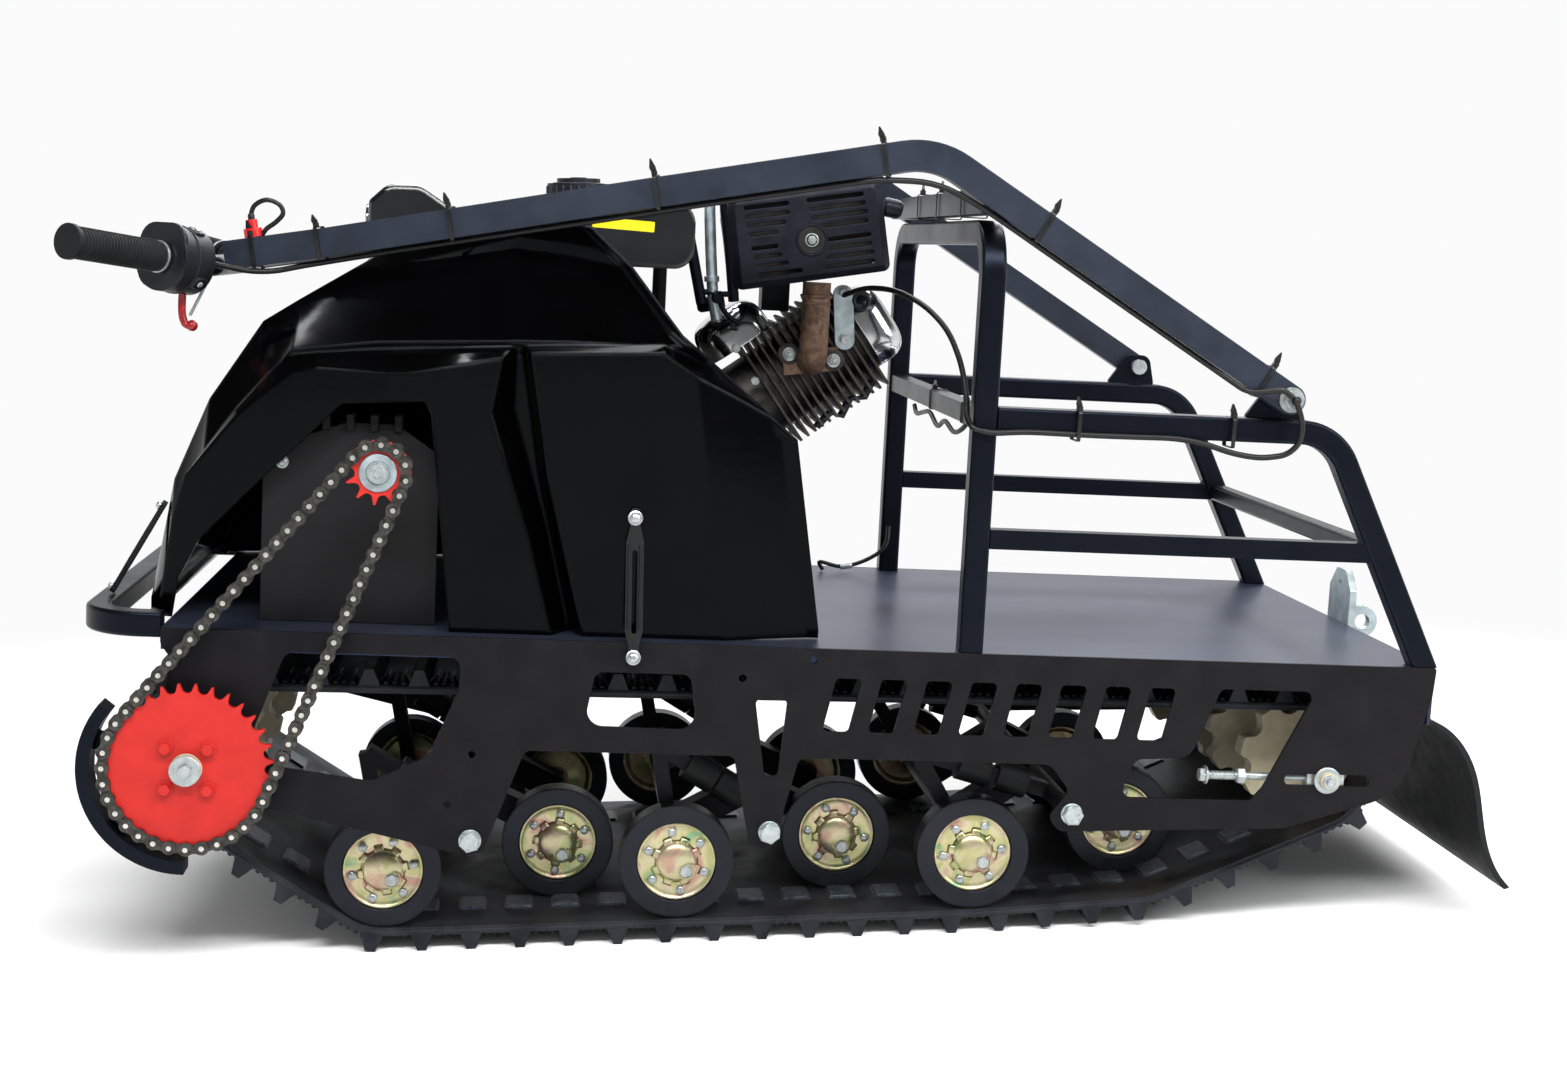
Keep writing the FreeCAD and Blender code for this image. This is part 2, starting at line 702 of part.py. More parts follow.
def track():
    """One loop: belt with its lugs in the outline, flat where the road wheels press it down."""
    body = new_body("track")
    circles = track_circles()
    inside = belt_path(circles)
    outside = belt_path(circles, size("belt_thickness"))
    length = path_length(outside)
    count = round(length / size("lug_pitch"))
    root, tip, height = size("lug_root"), size("lug_tip"), size("lug_height")
    corners = []
    for i in range(count):
        middle = i * length / count
        for along, rise in ((-root / 2, 0), (-tip / 2, height), (tip / 2, height), (root / 2, 0)):
            spot, normal = point_on(outside, middle + along)
            corners.append((spot[0] + rise * normal[0], spot[1] + rise * normal[1]))
    side_pad(body, "sizes.track_width / 2", "sizes.track_width", rounded(corners), path_geometry(inside))


def star_outline(x, z, turn):
    """Star wheel that drives the track by its lugs' windows."""
    teeth = int(size("star_teeth"))
    tip = size("star_radius") - 1.0
    corners = []
    for i in range(teeth):
        middle = turn + i * 2 * math.pi / teeth
        for lean, radius, corner in ((-0.16, tip, 5), (0.16, tip, 5), (math.pi / teeth, tip - 20, 12)):
            corners.append((
                x + radius * math.cos(middle + lean), z + radius * math.sin(middle + lean), corner,
            ))
    return rounded(corners)


def track_axle(label, x, z, left, right):
    """Axle with four star wheels, from left to right of the middle plane."""
    body = new_body(label)
    radius = size("axle_diameter") / 2
    side_pad(body, f"{left}", f"{left + right}", circle(x, z, radius))
    thick = size("star_thickness")
    for middle in (190, 70, -70, -190):
        side_pad(body, f"{middle + thick / 2}", "sizes.star_thickness", star_outline(x, z, 0.2))
    return body


def drive_axle():
    """Axle through bores in both plates, bolted outside the driven sprocket."""
    x, z = size("drive_ahead"), -size("drive_below")
    outer = size("chain_plane") + size("sprocket_thickness") / 2 + size("seat_gap")
    body = track_axle("drive_axle", x, z, outer, size("half_width") + 4)
    side_pad(body, f"{outer + 2}", "2", circle(x, z, 15.5))
    side_pad(body, f"{outer + 9}", "8", circle(x, z, 9))


def idler_axle():
    """Axle between the plates, held by a bolt through a slot in each."""
    x, z = -size("idler_behind"), -size("idler_below")
    face = size("half_width")
    inner = face - size("plate_thickness") - size("seat_gap")
    body = track_axle("idler_axle", x, z, inner, inner)
    gap = size("seat_gap")
    reach = face + gap + 9
    side_pad(body, f"{reach}", f"{2 * reach}", circle(x, z, size("slot_bolt") / 2))
    for outer in (face + gap + 2, -face - gap):
        side_pad(body, f"{outer}", "2", circle(x, z, 14))
    for outer in (reach, -face - gap - 1.5):
        side_pad(body, f"{outer}", "7.5", circle(x, z, 9.5))


def road_wheels():
    """Tyres and discs of the twelve road wheels."""
    tyres, discs = [], []
    rim = size("disc_diameter") / 2
    for front, rear in wheel_centres():
        for (x, z), face in ((front, size("outboard_face")), (rear, size("inboard_face"))):
            for side in (1, -1):
                base = Vector(x, side * face, z)
                inward = Vector(0, -side, 0)
                outer = cylinder("sizes.wheel_diameter / 2", "sizes.wheel_width", base, inward)
                inner = cylinder("sizes.disc_diameter / 2", "sizes.wheel_width", base, inward)
                tyres.append(cut(outer, inner))
                inset = Vector(x, side * (face - 3), z)
                disc = cylinder(f"{rim} - 0.3", "sizes.disc_width", inset, inward)
                hole = cylinder("sizes.wheel_axle / 2", "12", Vector(x, side * (face - 12), z), inward)
                cap = cylinder("22", "8", Vector(x, side * (face + 5), z), inward)
                fused = doc.addObject("Part::MultiFuse", "disc")
                fused.Shapes = [cut(disc, hole), cap]
                discs.append(fused)
    gather("road_wheel_tyres", tyres)
    gather("road_wheel_discs", discs)


def bogie(label, i):
    """Cross axle between the plates, two arms a side and the axles of its four wheels."""
    (front, rear) = wheel_centres()[i]
    x, z = bogie_stations()[i], pivot_level(i)
    inner = size("half_width") - size("plate_thickness") - size("seat_gap")
    pieces = [cylinder("sizes.bogie_axle / 2", f"{2 * inner}", Vector(x, -inner, z), Vector(0, 1, 0))]
    for (ax, az), face in ((front, size("outboard_face")), (rear, size("inboard_face"))):
        stop = face - 12.3
        pieces.append(
            cylinder("sizes.wheel_axle / 2", f"{2 * stop}", Vector(ax, -stop, az), Vector(0, 1, 0))
        )
        run = Vector(ax - x, 0, az - z)
        turn = Rotation(Vector(1, 0, 0), run)
        for middle in (95, -95):
            corner = Vector(x, middle - 15, z) - turn.multVec(Vector(0, 0, 15))
            pieces.append(box(run.Length, "sizes.arm_side", "sizes.arm_side", corner, turn))
    depth, tall = size("lever_depth"), size("lever_width")
    for start, end in lever_runs(i):
        run = Vector(end[0] - start[0], 0, end[1] - start[1])
        turn = Rotation(Vector(1, 0, 0), run)
        for side in (1, -1):
            corner = Vector(start[0], side * size("lever_line") - depth / 2, start[1])
            corner -= turn.multVec(Vector(0, 0, tall / 2))
            pieces.append(box(run.Length, "sizes.lever_depth", "sizes.lever_width", corner, turn))
    join(label, pieces)


def lever_runs(i):
    """Rocking lever of a bogie: from its pivot up to the knee, and down to the outboard axle."""
    pivot = (bogie_stations()[i], pivot_level(i))
    rise = ((113, 66), (113, 66), (150, 40))[i]
    knee = (pivot[0] + rise[0], pivot[1] + rise[1])
    return [(pivot, knee), (knee, wheel_centres()[i][0])]


def bump_stops():
    """Rubber sleeves on the rocking levers, two to a lever."""
    gap, length = size("seat_gap"), size("bump_length")
    hole = Vector(-1, -size("lever_depth") / 2 - gap, -size("lever_width") / 2 - gap)
    pieces = []
    for i in range(3):
        (x, z), knee = lever_runs(i)[0]
        run = Vector(knee[0] - x, 0, knee[1] - z)
        ahead = run / run.Length
        turn = Rotation(Vector(1, 0, 0), run)
        for side in (1, -1):
            for share in (0.30, 0.58):
                middle = Vector(x, side * size("lever_line"), z) + run * share
                base = middle - ahead * (length / 2)
                sleeve = cylinder("sizes.bump_diameter / 2", "sizes.bump_length", base, run)
                core = box(
                    "sizes.bump_length + 2", "sizes.lever_depth + 2 * sizes.seat_gap",
                    "sizes.lever_width + 2 * sizes.seat_gap", base + turn.multVec(hole), turn,
                )
                pieces.append(cut(sleeve, core))
    gather("bump_stops", pieces)


def tensioners():
    """Adjusting bolt and block of the idler axle on each plate."""
    x, z = -size("idler_behind"), -size("idler_below")
    pairs = []
    inner = size("half_width") - size("plate_thickness") - size("seat_gap")
    for side in (1, -1):
        low = side * inner - (14 if side > 0 else 0)
        block = box("40", "14", "36", Vector(x - 20, low, z - 18))
        bearing = "sizes.axle_diameter / 2 + sizes.running_gap"
        bore = cylinder(bearing, "20", Vector(x, low - 3, z), Vector(0, 1, 0))
        screw = cylinder("4", "110", Vector(x + 19, low + 7, z), Vector(1, 0, 0))
        fused = doc.addObject("Part::MultiFuse", "tensioner")
        fused.Shapes = [cut(block, bore), screw]
        pairs.append(fused)
    gather("track_tensioners", pairs)


# ---------------------------------------------------------------- chain drive


def sprocket_outline(centre, teeth, first_gullet):
    """Teeth with round gullets that the chain's rollers sit in."""
    radius = sprocket_radius(teeth)
    gullet = size("roller_diameter") / 2 + size("seat_gap")
    tip = radius + 4.2
    step = 2 * math.pi / teeth
    pieces = []
    ends = []
    for i in range(int(teeth)):
        angle = first_gullet + i * step
        pin = Vector(centre[0] + radius * math.cos(angle), centre[1] + radius * math.sin(angle), 0)
        spots = []
        for lean in (-1.15, 0, 1.15):
            inward = angle + math.pi - lean
            spots.append(pin + Vector(math.cos(inward), math.sin(inward), 0) * gullet)
        ends.append(spots)
    for i, spots in enumerate(ends):
        pieces.append(Part.Arc(*spots))
        angle = first_gullet + (i + 0.5) * step
        half_tip = 0.9 / tip
        crest = [
            Vector(centre[0] + tip * math.cos(angle + s), centre[1] + tip * math.sin(angle + s), 0)
            for s in (-half_tip, half_tip)
        ]
        following = ends[(i + 1) % len(ends)][0]
        pieces.append(Part.LineSegment(spots[-1], crest[0]))
        pieces.append(Part.LineSegment(crest[0], crest[1]))
        pieces.append(Part.LineSegment(crest[1], following))
    return pieces


def sprocket(label, index, teeth, bore, hub_radius, hub_depth):
    body = new_body(label)
    x, z, _ = chain_circles()[index]
    nearest = min(chain_pins(), key=lambda pin: abs(math.hypot(pin[0] - x, pin[1] - z) - sprocket_radius(teeth)))
    first = math.atan2(nearest[1] - z, nearest[0] - x)
    face = "sizes.chain_plane + sizes.sprocket_thickness / 2"
    side_pad(body, face, "sizes.sprocket_thickness", sprocket_outline((x, z), teeth, first), circle(x, z, bore))
    hub = "sizes.chain_plane - sizes.sprocket_thickness / 2"
    side_pad(body, hub, f"{hub_depth}", circle(x, z, hub_radius), circle(x, z, bore))


def link_outline(first, second):
    """Chain side plate: two round ends joined by a waist."""
    start, end = Vector(*first, 0), Vector(*second, 0)
    ahead = (end - start).normalize()
    across = Vector(-ahead.y, ahead.x, 0)
    radius, waist = size("link_height") / 2, size("link_waist") / 2
    lean = math.radians(62)
    out, up = ahead * (radius * math.cos(lean)), across * (radius * math.sin(lean))
    middle = (start + end) / 2
    return [
        Part.Arc(start + out + up, start - ahead * radius, start + out - up),
        Part.Arc(start + out - up, middle - across * waist, end - out - up),
        Part.Arc(end - out - up, end + ahead * radius, end - out + up),
        Part.Arc(end - out + up, middle + across * waist, start + out + up),
    ]


def drive_chain():
    """Roller chain: inner links on their rollers, outer links on their pins, turn about."""
    body = new_body("drive_chain")
    pins = chain_pins()
    pairs = list(zip(pins, pins[1:] + pins[:1]))
    plane, inner = size("chain_plane"), size("link_inner") / 2
    thick, stand = size("link_thickness"), size("pin_stand")
    rollers = [circle(x, z, size("roller_diameter") / 2)[0] for x, z in pins]
    rods = [circle(x, z, size("pin_diameter") / 2)[0] for x, z in pins]
    inner_links = [edge for pair in pairs[::2] for edge in link_outline(*pair)]
    outer_links = [edge for pair in pairs[1::2] for edge in link_outline(*pair)]
    body.AllowCompound = True
    side_pad(body, f"{plane + inner}", "sizes.link_inner", rollers)
    for start in (inner + thick, -inner):
        side_pad(body, f"{plane + start}", "sizes.link_thickness", inner_links)
    for start in (inner + 2 * thick, -inner - thick):
        side_pad(body, f"{plane + start}", "sizes.link_thickness", outer_links)
    reach = inner + 2 * thick + stand
    side_pad(body, f"{plane + reach}", f"{2 * reach}", rods)


def chain_guard():
    """Curved strip round the front of the driven sprocket."""
    body = new_body("chain_guard")
    x, z, _ = chain_circles()[0]
    inner = size("guard_radius")
    outer = inner + size("guard_depth")

    def spot(radius, degrees):
        angle = math.radians(degrees)
        return Vector(x + radius * math.cos(angle), z + radius * math.sin(angle), 0)

    start, middle, end = 38, -26, -90
    strip = [
        Part.Arc(spot(inner, start), spot(inner, middle), spot(inner, end)),
        Part.LineSegment(spot(inner, end), spot(outer, end)),
        Part.Arc(spot(outer, end), spot(outer, middle), spot(outer, start)),
        Part.LineSegment(spot(outer, start), spot(inner, start)),
    ]
    side_pad(body, "sizes.chain_plane + 12", "sizes.guard_width", strip)
    plate = size("half_width") + size("seat_gap")
    foot, thick = 32, 3
    for degrees in (14, -44):
        angle = math.radians(degrees)
        along = Vector(math.cos(angle), math.sin(angle), 0)
        across = Vector(-along.y, along.x, 0) * 10
        middle = Vector(x, z, 0)
        ends = [
            middle + along * foot - across, middle + along * (inner + 2) - across,
            middle + along * (inner + 2) + across, middle + along * foot + across,
        ]
        side_pad(body, f"{plate + thick}", f"{thick}", rounded([(p.x, p.y) for p in ends]))


def bearing_panel():
    """Upright plate behind the chain, with the bearing of the driving sprocket's shaft."""
    body = new_body("bearing_panel")
    x, z, _ = chain_circles()[1]
    panel = rounded([
        (724, 0.3), (724, 175, 6), (x + 40, 205, 20), (x - 10, 205, 20), (548, 175, 6), (548, 0.3),
    ])
    side_pad(body, "238", "5", panel, circle(x, z, 15.1))


def jackshaft():
    """Shaft of the driving sprocket, held by the bearing panel."""
    x, z, _ = chain_circles()[1]
    shaft = cylinder("10", "124.5", Vector(x, 200, z), Vector(0, 1, 0))
    head = cylinder("9", "7", Vector(x, 324, z), Vector(0, 1, 0))
    collar = cylinder("15", "34", Vector(x, 228, z), Vector(0, 1, 0))
    join("jackshaft", [shaft, head, collar])


# ---------------------------------------------------------------- engine


def engine_place():
    """Crankshaft centre and the direction of the cylinder, up and to the rear."""
    crank = Vector(size("crank_ahead"), 0, size("crank_above"))
    tilt = math.radians(size("engine_tilt"))
    axis = Vector(-math.cos(tilt), 0, math.sin(tilt))
    return crank, axis, Rotation(Vector(0, 0, 1), axis)


def engine_block():
    """Plain crankcase on the deck, with the cylinder's seat square to its axis."""
    crank, axis, turn = engine_place()
    seat = crank + axis * size("case_reach")
    across = turn.multVec(Vector(62, 0, 0))
    low, high = (seat - across, seat + across)
    if low.z > high.z:
        low, high = high, low
    body = new_body("engine_block")
    side_pad(body, "100", "230", rounded([
        (200, 0.3, 8), (424, 0.3, 8), (424, 262, 30), (high.x + 12, 262, 20),
        (high.x, high.z), (low.x, low.z), (200, low.z - 10, 12),
    ]))


def cylinder_fins():
    """Cylinder and head with their cooling fins."""
    crank, axis, turn = engine_place()
    start = size("case_reach") + size("seat_gap")
    barrel = [cylinder("48", f"{size('barrel_reach') - start}", crank + axis * start, axis)]
    depth, width = size("fin_depth"), size("fin_width")
    for i in range(int(size("fin_count"))):
        along = size("fin_start") + i * size("fin_pitch")
        corner = crank + axis * along + turn.multVec(Vector(-depth / 2, -width / 2, 0))
        barrel.append(box("sizes.fin_depth", "sizes.fin_width", "sizes.fin_thickness", corner, turn))
    join("cylinder_fins", barrel)


def engine_spot(crank, turn, along, over):
    """XZ place from the crankshaft: along the cylinder's axis and square to it, up and forward."""
    spot = crank + turn.multVec(Vector(over, 0, along))
    return (spot.x, spot.z)


def soften(body, feature, radius, at_y):
    """Round the edges of a feature that lie in the planes Y = at_y and Y = -at_y."""
    doc.recompute()
    names = []
    for i, edge in enumerate(feature.Shape.Edges, start=1):
        bounds = edge.BoundBox
        if bounds.YLength < 0.01 and abs(abs(bounds.YMin) - at_y) < 0.01:
            names.append(f"Edge{i}")
    rounding = body.newObject("PartDesign::Fillet", "rounding")
    rounding.Base = (feature, names)
    rounding.Radius = radius
    doc.recompute()


def head_cover():
    """Rounded pressed cover on the end of the cylinder head."""
    crank, _, turn = engine_place()
    seat = size("barrel_reach") + size("seat_gap")
    body = new_body("head_cover")
    outline = [(0, -46, 6), (0, 46, 6), (24, 46, 22), (40, 24, 26), (40, -24, 26), (24, -46, 22)]
    corners = [(*engine_spot(crank, turn, seat + h, a), r) for h, a, r in outline]
    half = 56
    soften(body, side_pad(body, f"{half}", f"{2 * half}", rounded(corners)), 5.0, half)


def cylinder_shroud():
    """Bright air duct over the root of the cylinder, open to the fins."""
    crank, _, turn = engine_place()
    base = size("fin_depth") / 2 + size("seat_gap")
    body = new_body("cylinder_shroud")
    half, wall = 60, 2.0
    outline = [
        (100, base, 2), (100, base + 38, 6), (112, base + 43, 10), (178, base + 41, 15),
        (184, base + 14, 8), (184, base, 2),
    ]
    corners = [(*engine_spot(crank, turn, h, a), r) for h, a, r in outline]
    soften(body, side_pad(body, f"{half}", f"{2 * half}", rounded(corners)), 8.0, half)
    hollow = [(h, a - 0.01) for h, a, _ in inset(outline, wall)]
    hollow[0] = (hollow[0][0], base - 5)
    hollow[-1] = (hollow[-1][0], base - 5)
    room = rounded([engine_spot(crank, turn, h, a) for h, a in hollow])
    pocket_between(body, room, half - 9, 9 - half)


def recoil_starter():
    """Round starter housing on the right end of the crankshaft."""
    x, z = size("crank_ahead"), size("crank_above")
    drum = cylinder("92", "40", Vector(x, -130.3, z), Vector(0, -1, 0))
    crown = cylinder("60", "14", Vector(x, -170, z), Vector(0, -1, 0))
    join("recoil_starter", [drum, crown])


def fuel_tank():
    body = new_body("fuel_tank")
    side_pad(body, "130", "260", rounded([
        (292, 374, 22), (482, 374, 22), (482, 440, 26), (292, 448, 26),
    ]))


def tank_brackets():
    """Pressed brackets that carry the tank over the crankcase."""
    foot, top = 262 + size("seat_gap"), 374 - size("seat_gap")
    plates = []
    for middle in (70, -70):
        plates.append(box("8", "26", f"{top - foot}", Vector(318, middle - 13, foot)))
        plates.append(box("8", "26", f"{top - foot}", Vector(398, middle - 13, foot)))
    gather("tank_brackets", plates)


def air_cleaner():
    """Square air cleaner on the right of the cylinder, opposite the silencer."""
    body = new_body("air_cleaner")
    side_pad(body, "-40", "86", rounded([(238, 380, 14), (118, 402, 14), (128, 470, 14), (250, 444, 14)]))
    elbow = rounded([(168, 330), (200, 330), (200, 400), (168, 400)])
    side_pad(body, "-(sizes.fin_width / 2 + sizes.seat_gap)", "40", elbow)


def tank_cap():
    cap = cylinder("34", "18", Vector(416, 0, 443.3), Vector(0.04, 0, 1))
    neck = cylinder("24", "8", Vector(416, 0, 459), Vector(0.04, 0, 1))
    join("tank_cap", [cap, neck])


SILENCER_OUTLINE = [(260, 451, 12), (245, 354, 8), (79, 384, 8), (96, 480, 12)]
SILENCER_FACE, SILENCER_BACK = 128, 8


def silencer_spot(along, down):
    """XZ place on the guard's face, from its bolt towards the rear and down."""
    bolt, lean = (167, 412), math.radians(10)
    return (
        bolt[0] - along * math.cos(lean) - down * math.sin(lean),
        bolt[1] + along * math.sin(lean) - down * math.cos(lean),
    )


def louvre(start, end, row):
    """Slot with round ends along a row of the guard's face."""
    half = size("louvre_height") / 2
    ends = [Vector(*silencer_spot(along, row), 0) for along in (start, end)]
    ahead = (ends[1] - ends[0]).normalize()
    across = Vector(-ahead.y, ahead.x, 0) * half
    return [
        Part.LineSegment(ends[0] - across, ends[1] - across),
        Part.Arc(ends[1] - across, ends[1] + ahead * half, ends[1] + across),
        Part.LineSegment(ends[1] + across, ends[0] + across),
        Part.Arc(ends[0] + across, ends[0] - ahead * half, ends[0] - across),
    ]


def muffler_guard():
    """Bevelled sheet cover round the silencer, with two columns of louvres beside its bolt."""
    body = new_body("muffler_guard")
    depth, bevel, sheet_t = SILENCER_FACE - SILENCER_BACK, 7, size("guard_sheet")
    outer = side_pad(body, f"{SILENCER_FACE}", f"{depth}", rounded(SILENCER_OUTLINE))
    doc.recompute()
    rim = []
    for i, edge in enumerate(outer.Shape.Edges, start=1):
        if edge.BoundBox.YMin > SILENCER_FACE - 0.1:
            rim.append(f"Edge{i}")
    slope = body.newObject("PartDesign::Chamfer", "bevel")
    slope.Base = (outer, rim)
    slope.Size = bevel
    doc.recompute()
    hollow = rounded(inset(SILENCER_OUTLINE, sheet_t + bevel))
    cavity = rounded(inset(SILENCER_OUTLINE, sheet_t))
    pocket_between(body, hollow, SILENCER_FACE - sheet_t, SILENCER_BACK - 1)
    pocket_between(body, cavity, SILENCER_FACE - sheet_t - bevel, SILENCER_BACK - 1)
    pitch = size("louvre_pitch")
    left = ((-66, -22), (-66, -22), (-65, -27), (-64, -37), (-63, -39), (-62, -36), (-61, -30), (-60, -16))
    right = ((2, 59), (3, 60), (4, 61), (12, 61), (20, 62), (19, 62), (16, 63), (13, 63))
    holes = circle(*silencer_spot(0, 0), size("slot_bolt") / 2)
    for column in (left, right):
        for i, (start, end) in enumerate(column):
            row = (i - 4) * pitch + (1.5 if i > 3 else -4)
            holes += louvre(start, end, row)
    pocket_between(body, holes, SILENCER_FACE + 1, SILENCER_FACE - sheet_t - 1)


def pocket_between(body, outline, high, low):
    """Cut an XZ outline out of the body from Y = high down to Y = low."""
    pocket = body.newObject("PartDesign::Pocket", "pocket")
    pocket.Profile = sketch_on(body, "XZ_Plane", float(-high), outline)
    pocket.Length = high - low
    pocket.Reversed = True
    doc.recompute()


def inset(corners, amount):
    """Outline with every side moved inwards; the corners come as (u, v) or (u, v, radius)."""
    count = len(corners)
    area = sum(
        corners[i - 1][0] * corners[i][1] - corners[i][0] * corners[i - 1][1] for i in range(count)
    )
    inward = 1 if area > 0 else -1
    sides = []
    for i in range(count):
        (u1, v1), (u2, v2) = corners[i - 1][:2], corners[i][:2]
        length = math.hypot(u2 - u1, v2 - v1)
        normal = (-(v2 - v1) / length * inward, (u2 - u1) / length * inward)
        sides.append((normal, normal[0] * u1 + normal[1] * v1 + amount))
    moved = []
    for i in range(count):
        (n1, d1), (n2, d2) = sides[i], sides[(i + 1) % count]
        cross = n1[0] * n2[1] - n1[1] * n2[0]
        u = (d1 * n2[1] - d2 * n1[1]) / cross
        v = (n1[0] * d2 - n2[0] * d1) / cross
        radius = corners[i][2:] and (max(corners[i][2] - amount, 1.0),)
        moved.append((u, v, *radius))
    return moved


def silencer():
    """Silencer inside its guard, on the boss of the guard's bolt, with its outlet to the rear."""
    body = new_body("silencer")
    gap = size("silencer_gap") + size("guard_sheet")
    face = SILENCER_FACE - size("guard_sheet") - size("seat_gap")
    core = rounded(inset(SILENCER_OUTLINE, gap + 4))
    side_pad(body, f"{face - 11}", f"{face - 11 - SILENCER_BACK}", core)
    x, z = silencer_spot(0, 0)
    side_pad(body, f"{face}", "12", circle(x, z, 14))
    side_pad(body, f"{face + 5}", "8", circle(x, z, size("slot_bolt") / 2 - size("running_gap")))


def exhaust_pipe():
    """Pipe from the silencer down to its flange on the cylinder head."""
    x, y, z = 154, 86, 280
    face = size("fin_width") / 2 + size("seat_gap")
    path = bent_path([(Vector(x, y, 366.8), 0), (Vector(x, y, z), 18), (Vector(x, face + 1, z), 0)])
    pipe = doc.addObject("Part::Feature", "run")
    ring = Part.Wire(Part.makeCircle(15.5, Vector(x, y, 366.8), Vector(0, 0, -1)))
    pipe.Shape = path.makePipeShell([ring], True, False)
    turn = Rotation(Vector(0, 1, 0), 8)
    flange = box("62", "5", "26", Vector(x, face, z) - turn.multVec(Vector(31, 0, 13)), turn)
    join("exhaust_pipe", [pipe, flange])


def muffler_bracket():
    """Zinc strap from the head up to the underside of the silencer."""
    low = Vector(112, size("fin_width") / 2 + size("seat_gap"), 300)
    strap_plate = box("21", "4", "66", low, Rotation(Vector(0, 1, 0), -4))
    strap_plate.Label = "muffler_bracket"
    PARTS.append(strap_plate)


# ---------------------------------------------------------------- hood and lamp


HOOD_STATIONS = [
    # x, half width at the floor, flank top, half width there, crease, half width there, roof, half width there
    (838, 203, 9, 203, 14, 203, 22, 192),
    (817, 230, 34, 231, 46, 235, 137, 200),
    (784, 234, 146, 234, 158, 237, 220, 196),
    (733, 239, 216, 239, 228, 243, 301, 186),
    (696, 242, 264, 242, 277, 250, 326, 175),
    (614, 243, 274, 243, 288, 254, 379, 145),
    (480, 243, 280, 243, 294, 256, 405, 177),
    (418, 243, 282, 243, 296, 256, 417, 174),
    (130, 243, 284, 243, 298, 256, 417, 174),
]
# Half width of the raised panels' faces along the hood, as (x, y).
HOOD_PLAN = [(850, 227), (826, 236), (784, 249), (700, 263), (600, 274)]
# Side views as (x, z): where a panel meets the flank, and its face.
ARCH_ROOT = [
    (826, 1), (824, 19), (812, 103), (800, 146), (752, 214), (699, 276), (676, 279), (582, 290),
    (474, 294), (474, 223), (436, 99), (412, 1),
]
ARCH_FACE = [
    (822, 1), (820, 19), (806, 101), (793, 143), (743, 202), (691, 245), (667, 255), (581, 259),
    (487, 279), (498, 223), (456, 99), (430, 1),
]
PANEL_ROOT = [(470, 294), (448, 160), (410, 1), (150, 1), (150, 10), (186, 214), (322, 303)]
PANEL_FACE = [(459, 285), (438, 160), (397, 1), (152, 1), (152, 10), (188, 205), (328, 291)]
# Rear edge of the hood from the roof down to the deck.
HOOD_REAR = [(425, 430), (403, 415), (361, 377), (307, 309), (265, 275), (184, 207), (152, 10), (152, -12)]


def hood_section(station, shrink, floor):
    _, low, flank, wide, crease, ledge, roof, narrow = station
    points = [
        (low - shrink, floor), (wide - shrink, flank), (ledge - shrink, crease - shrink / 2),
        (narrow - shrink, roof - shrink),
    ]
    mirrored = [(-y, z) for y, z in reversed(points)]
    return rounded(points + mirrored)


def lofted(label, role, sections):
    """Ruled loft through outlines at offsets from an origin plane, as a tool for the hood."""
    body = doc.addObject("PartDesign::Body", label)
    sketches = [sketch_on(body, role, float(offset), rounded(outline)) for offset, outline in sections]
    loft = body.newObject("PartDesign::AdditiveLoft", "loft")
    loft.Profile = sketches[0]
    loft.Sections = sketches[1:]
    loft.Ruled = True
    return body


def hood_shell(label, shrink, floor):
    """Body of the hood between its flanks, without the raised panels."""
    body = doc.addObject("PartDesign::Body", label)
    sections = []
    for station in HOOD_STATIONS:
        ahead = station[0] - (shrink * 2 if station is HOOD_STATIONS[0] else 0)
        outline = hood_section(station, shrink, floor)
        sections.append(sketch_on(body, "YZ_Plane", float(ahead), outline))
    loft = body.newObject("PartDesign::AdditiveLoft", "loft")
    loft.Profile = sections[0]
    loft.Sections = sections[1:]
    loft.Ruled = True
    return body


def common(first, second):
    shared = doc.addObject("Part::Common", "common")
    shared.Base = first
    shared.Tool = second
    return shared


def lowered(outline, floor):
    """The outline with its lowest corners moved to a level."""
    lowest = min(v for _, v in outline)
    return [(u, floor if v < lowest + 0.5 else v) for u, v in outline]


def raised_panel(root, face, side, wall):
    """Raised panel on one flank: bevelled in side view, drawn in towards the nose in plan."""
    flank, top = size("hood_flank"), size("hood_face")
    if wall:
        root, face = lowered(inset(root, wall), -3), lowered(inset(face, wall), -3)
    depth = 222 - 2 * wall
    stations = [(-side * depth, root), (-side * (flank - wall), root), (-side * (top + 1 - wall), face)]
    block = lofted("panel", "XZ_Plane", stations)
    ends = []
    for level, crease, tail in ((-6, 252, 148), (306, 297, 205)):
        front = [(850, depth)] + [(x, y - wall) for x, y in HOOD_PLAN]
        back = [(crease + wall, top - wall), (tail, 238 - wall), (100, 230 - wall), (100, depth)]
        ends.append((level, [(x, side * y) for x, y in front + back]))
    return common(block, lofted("plan", "XY_Plane", ends))


def side_prism(outline, face, depth):
    """XZ outline as a block from Y = face towards the right."""
    body = doc.addObject("PartDesign::Body", "prism")
    side_pad(body, f"{face}", f"{depth}", rounded(outline))
    return body


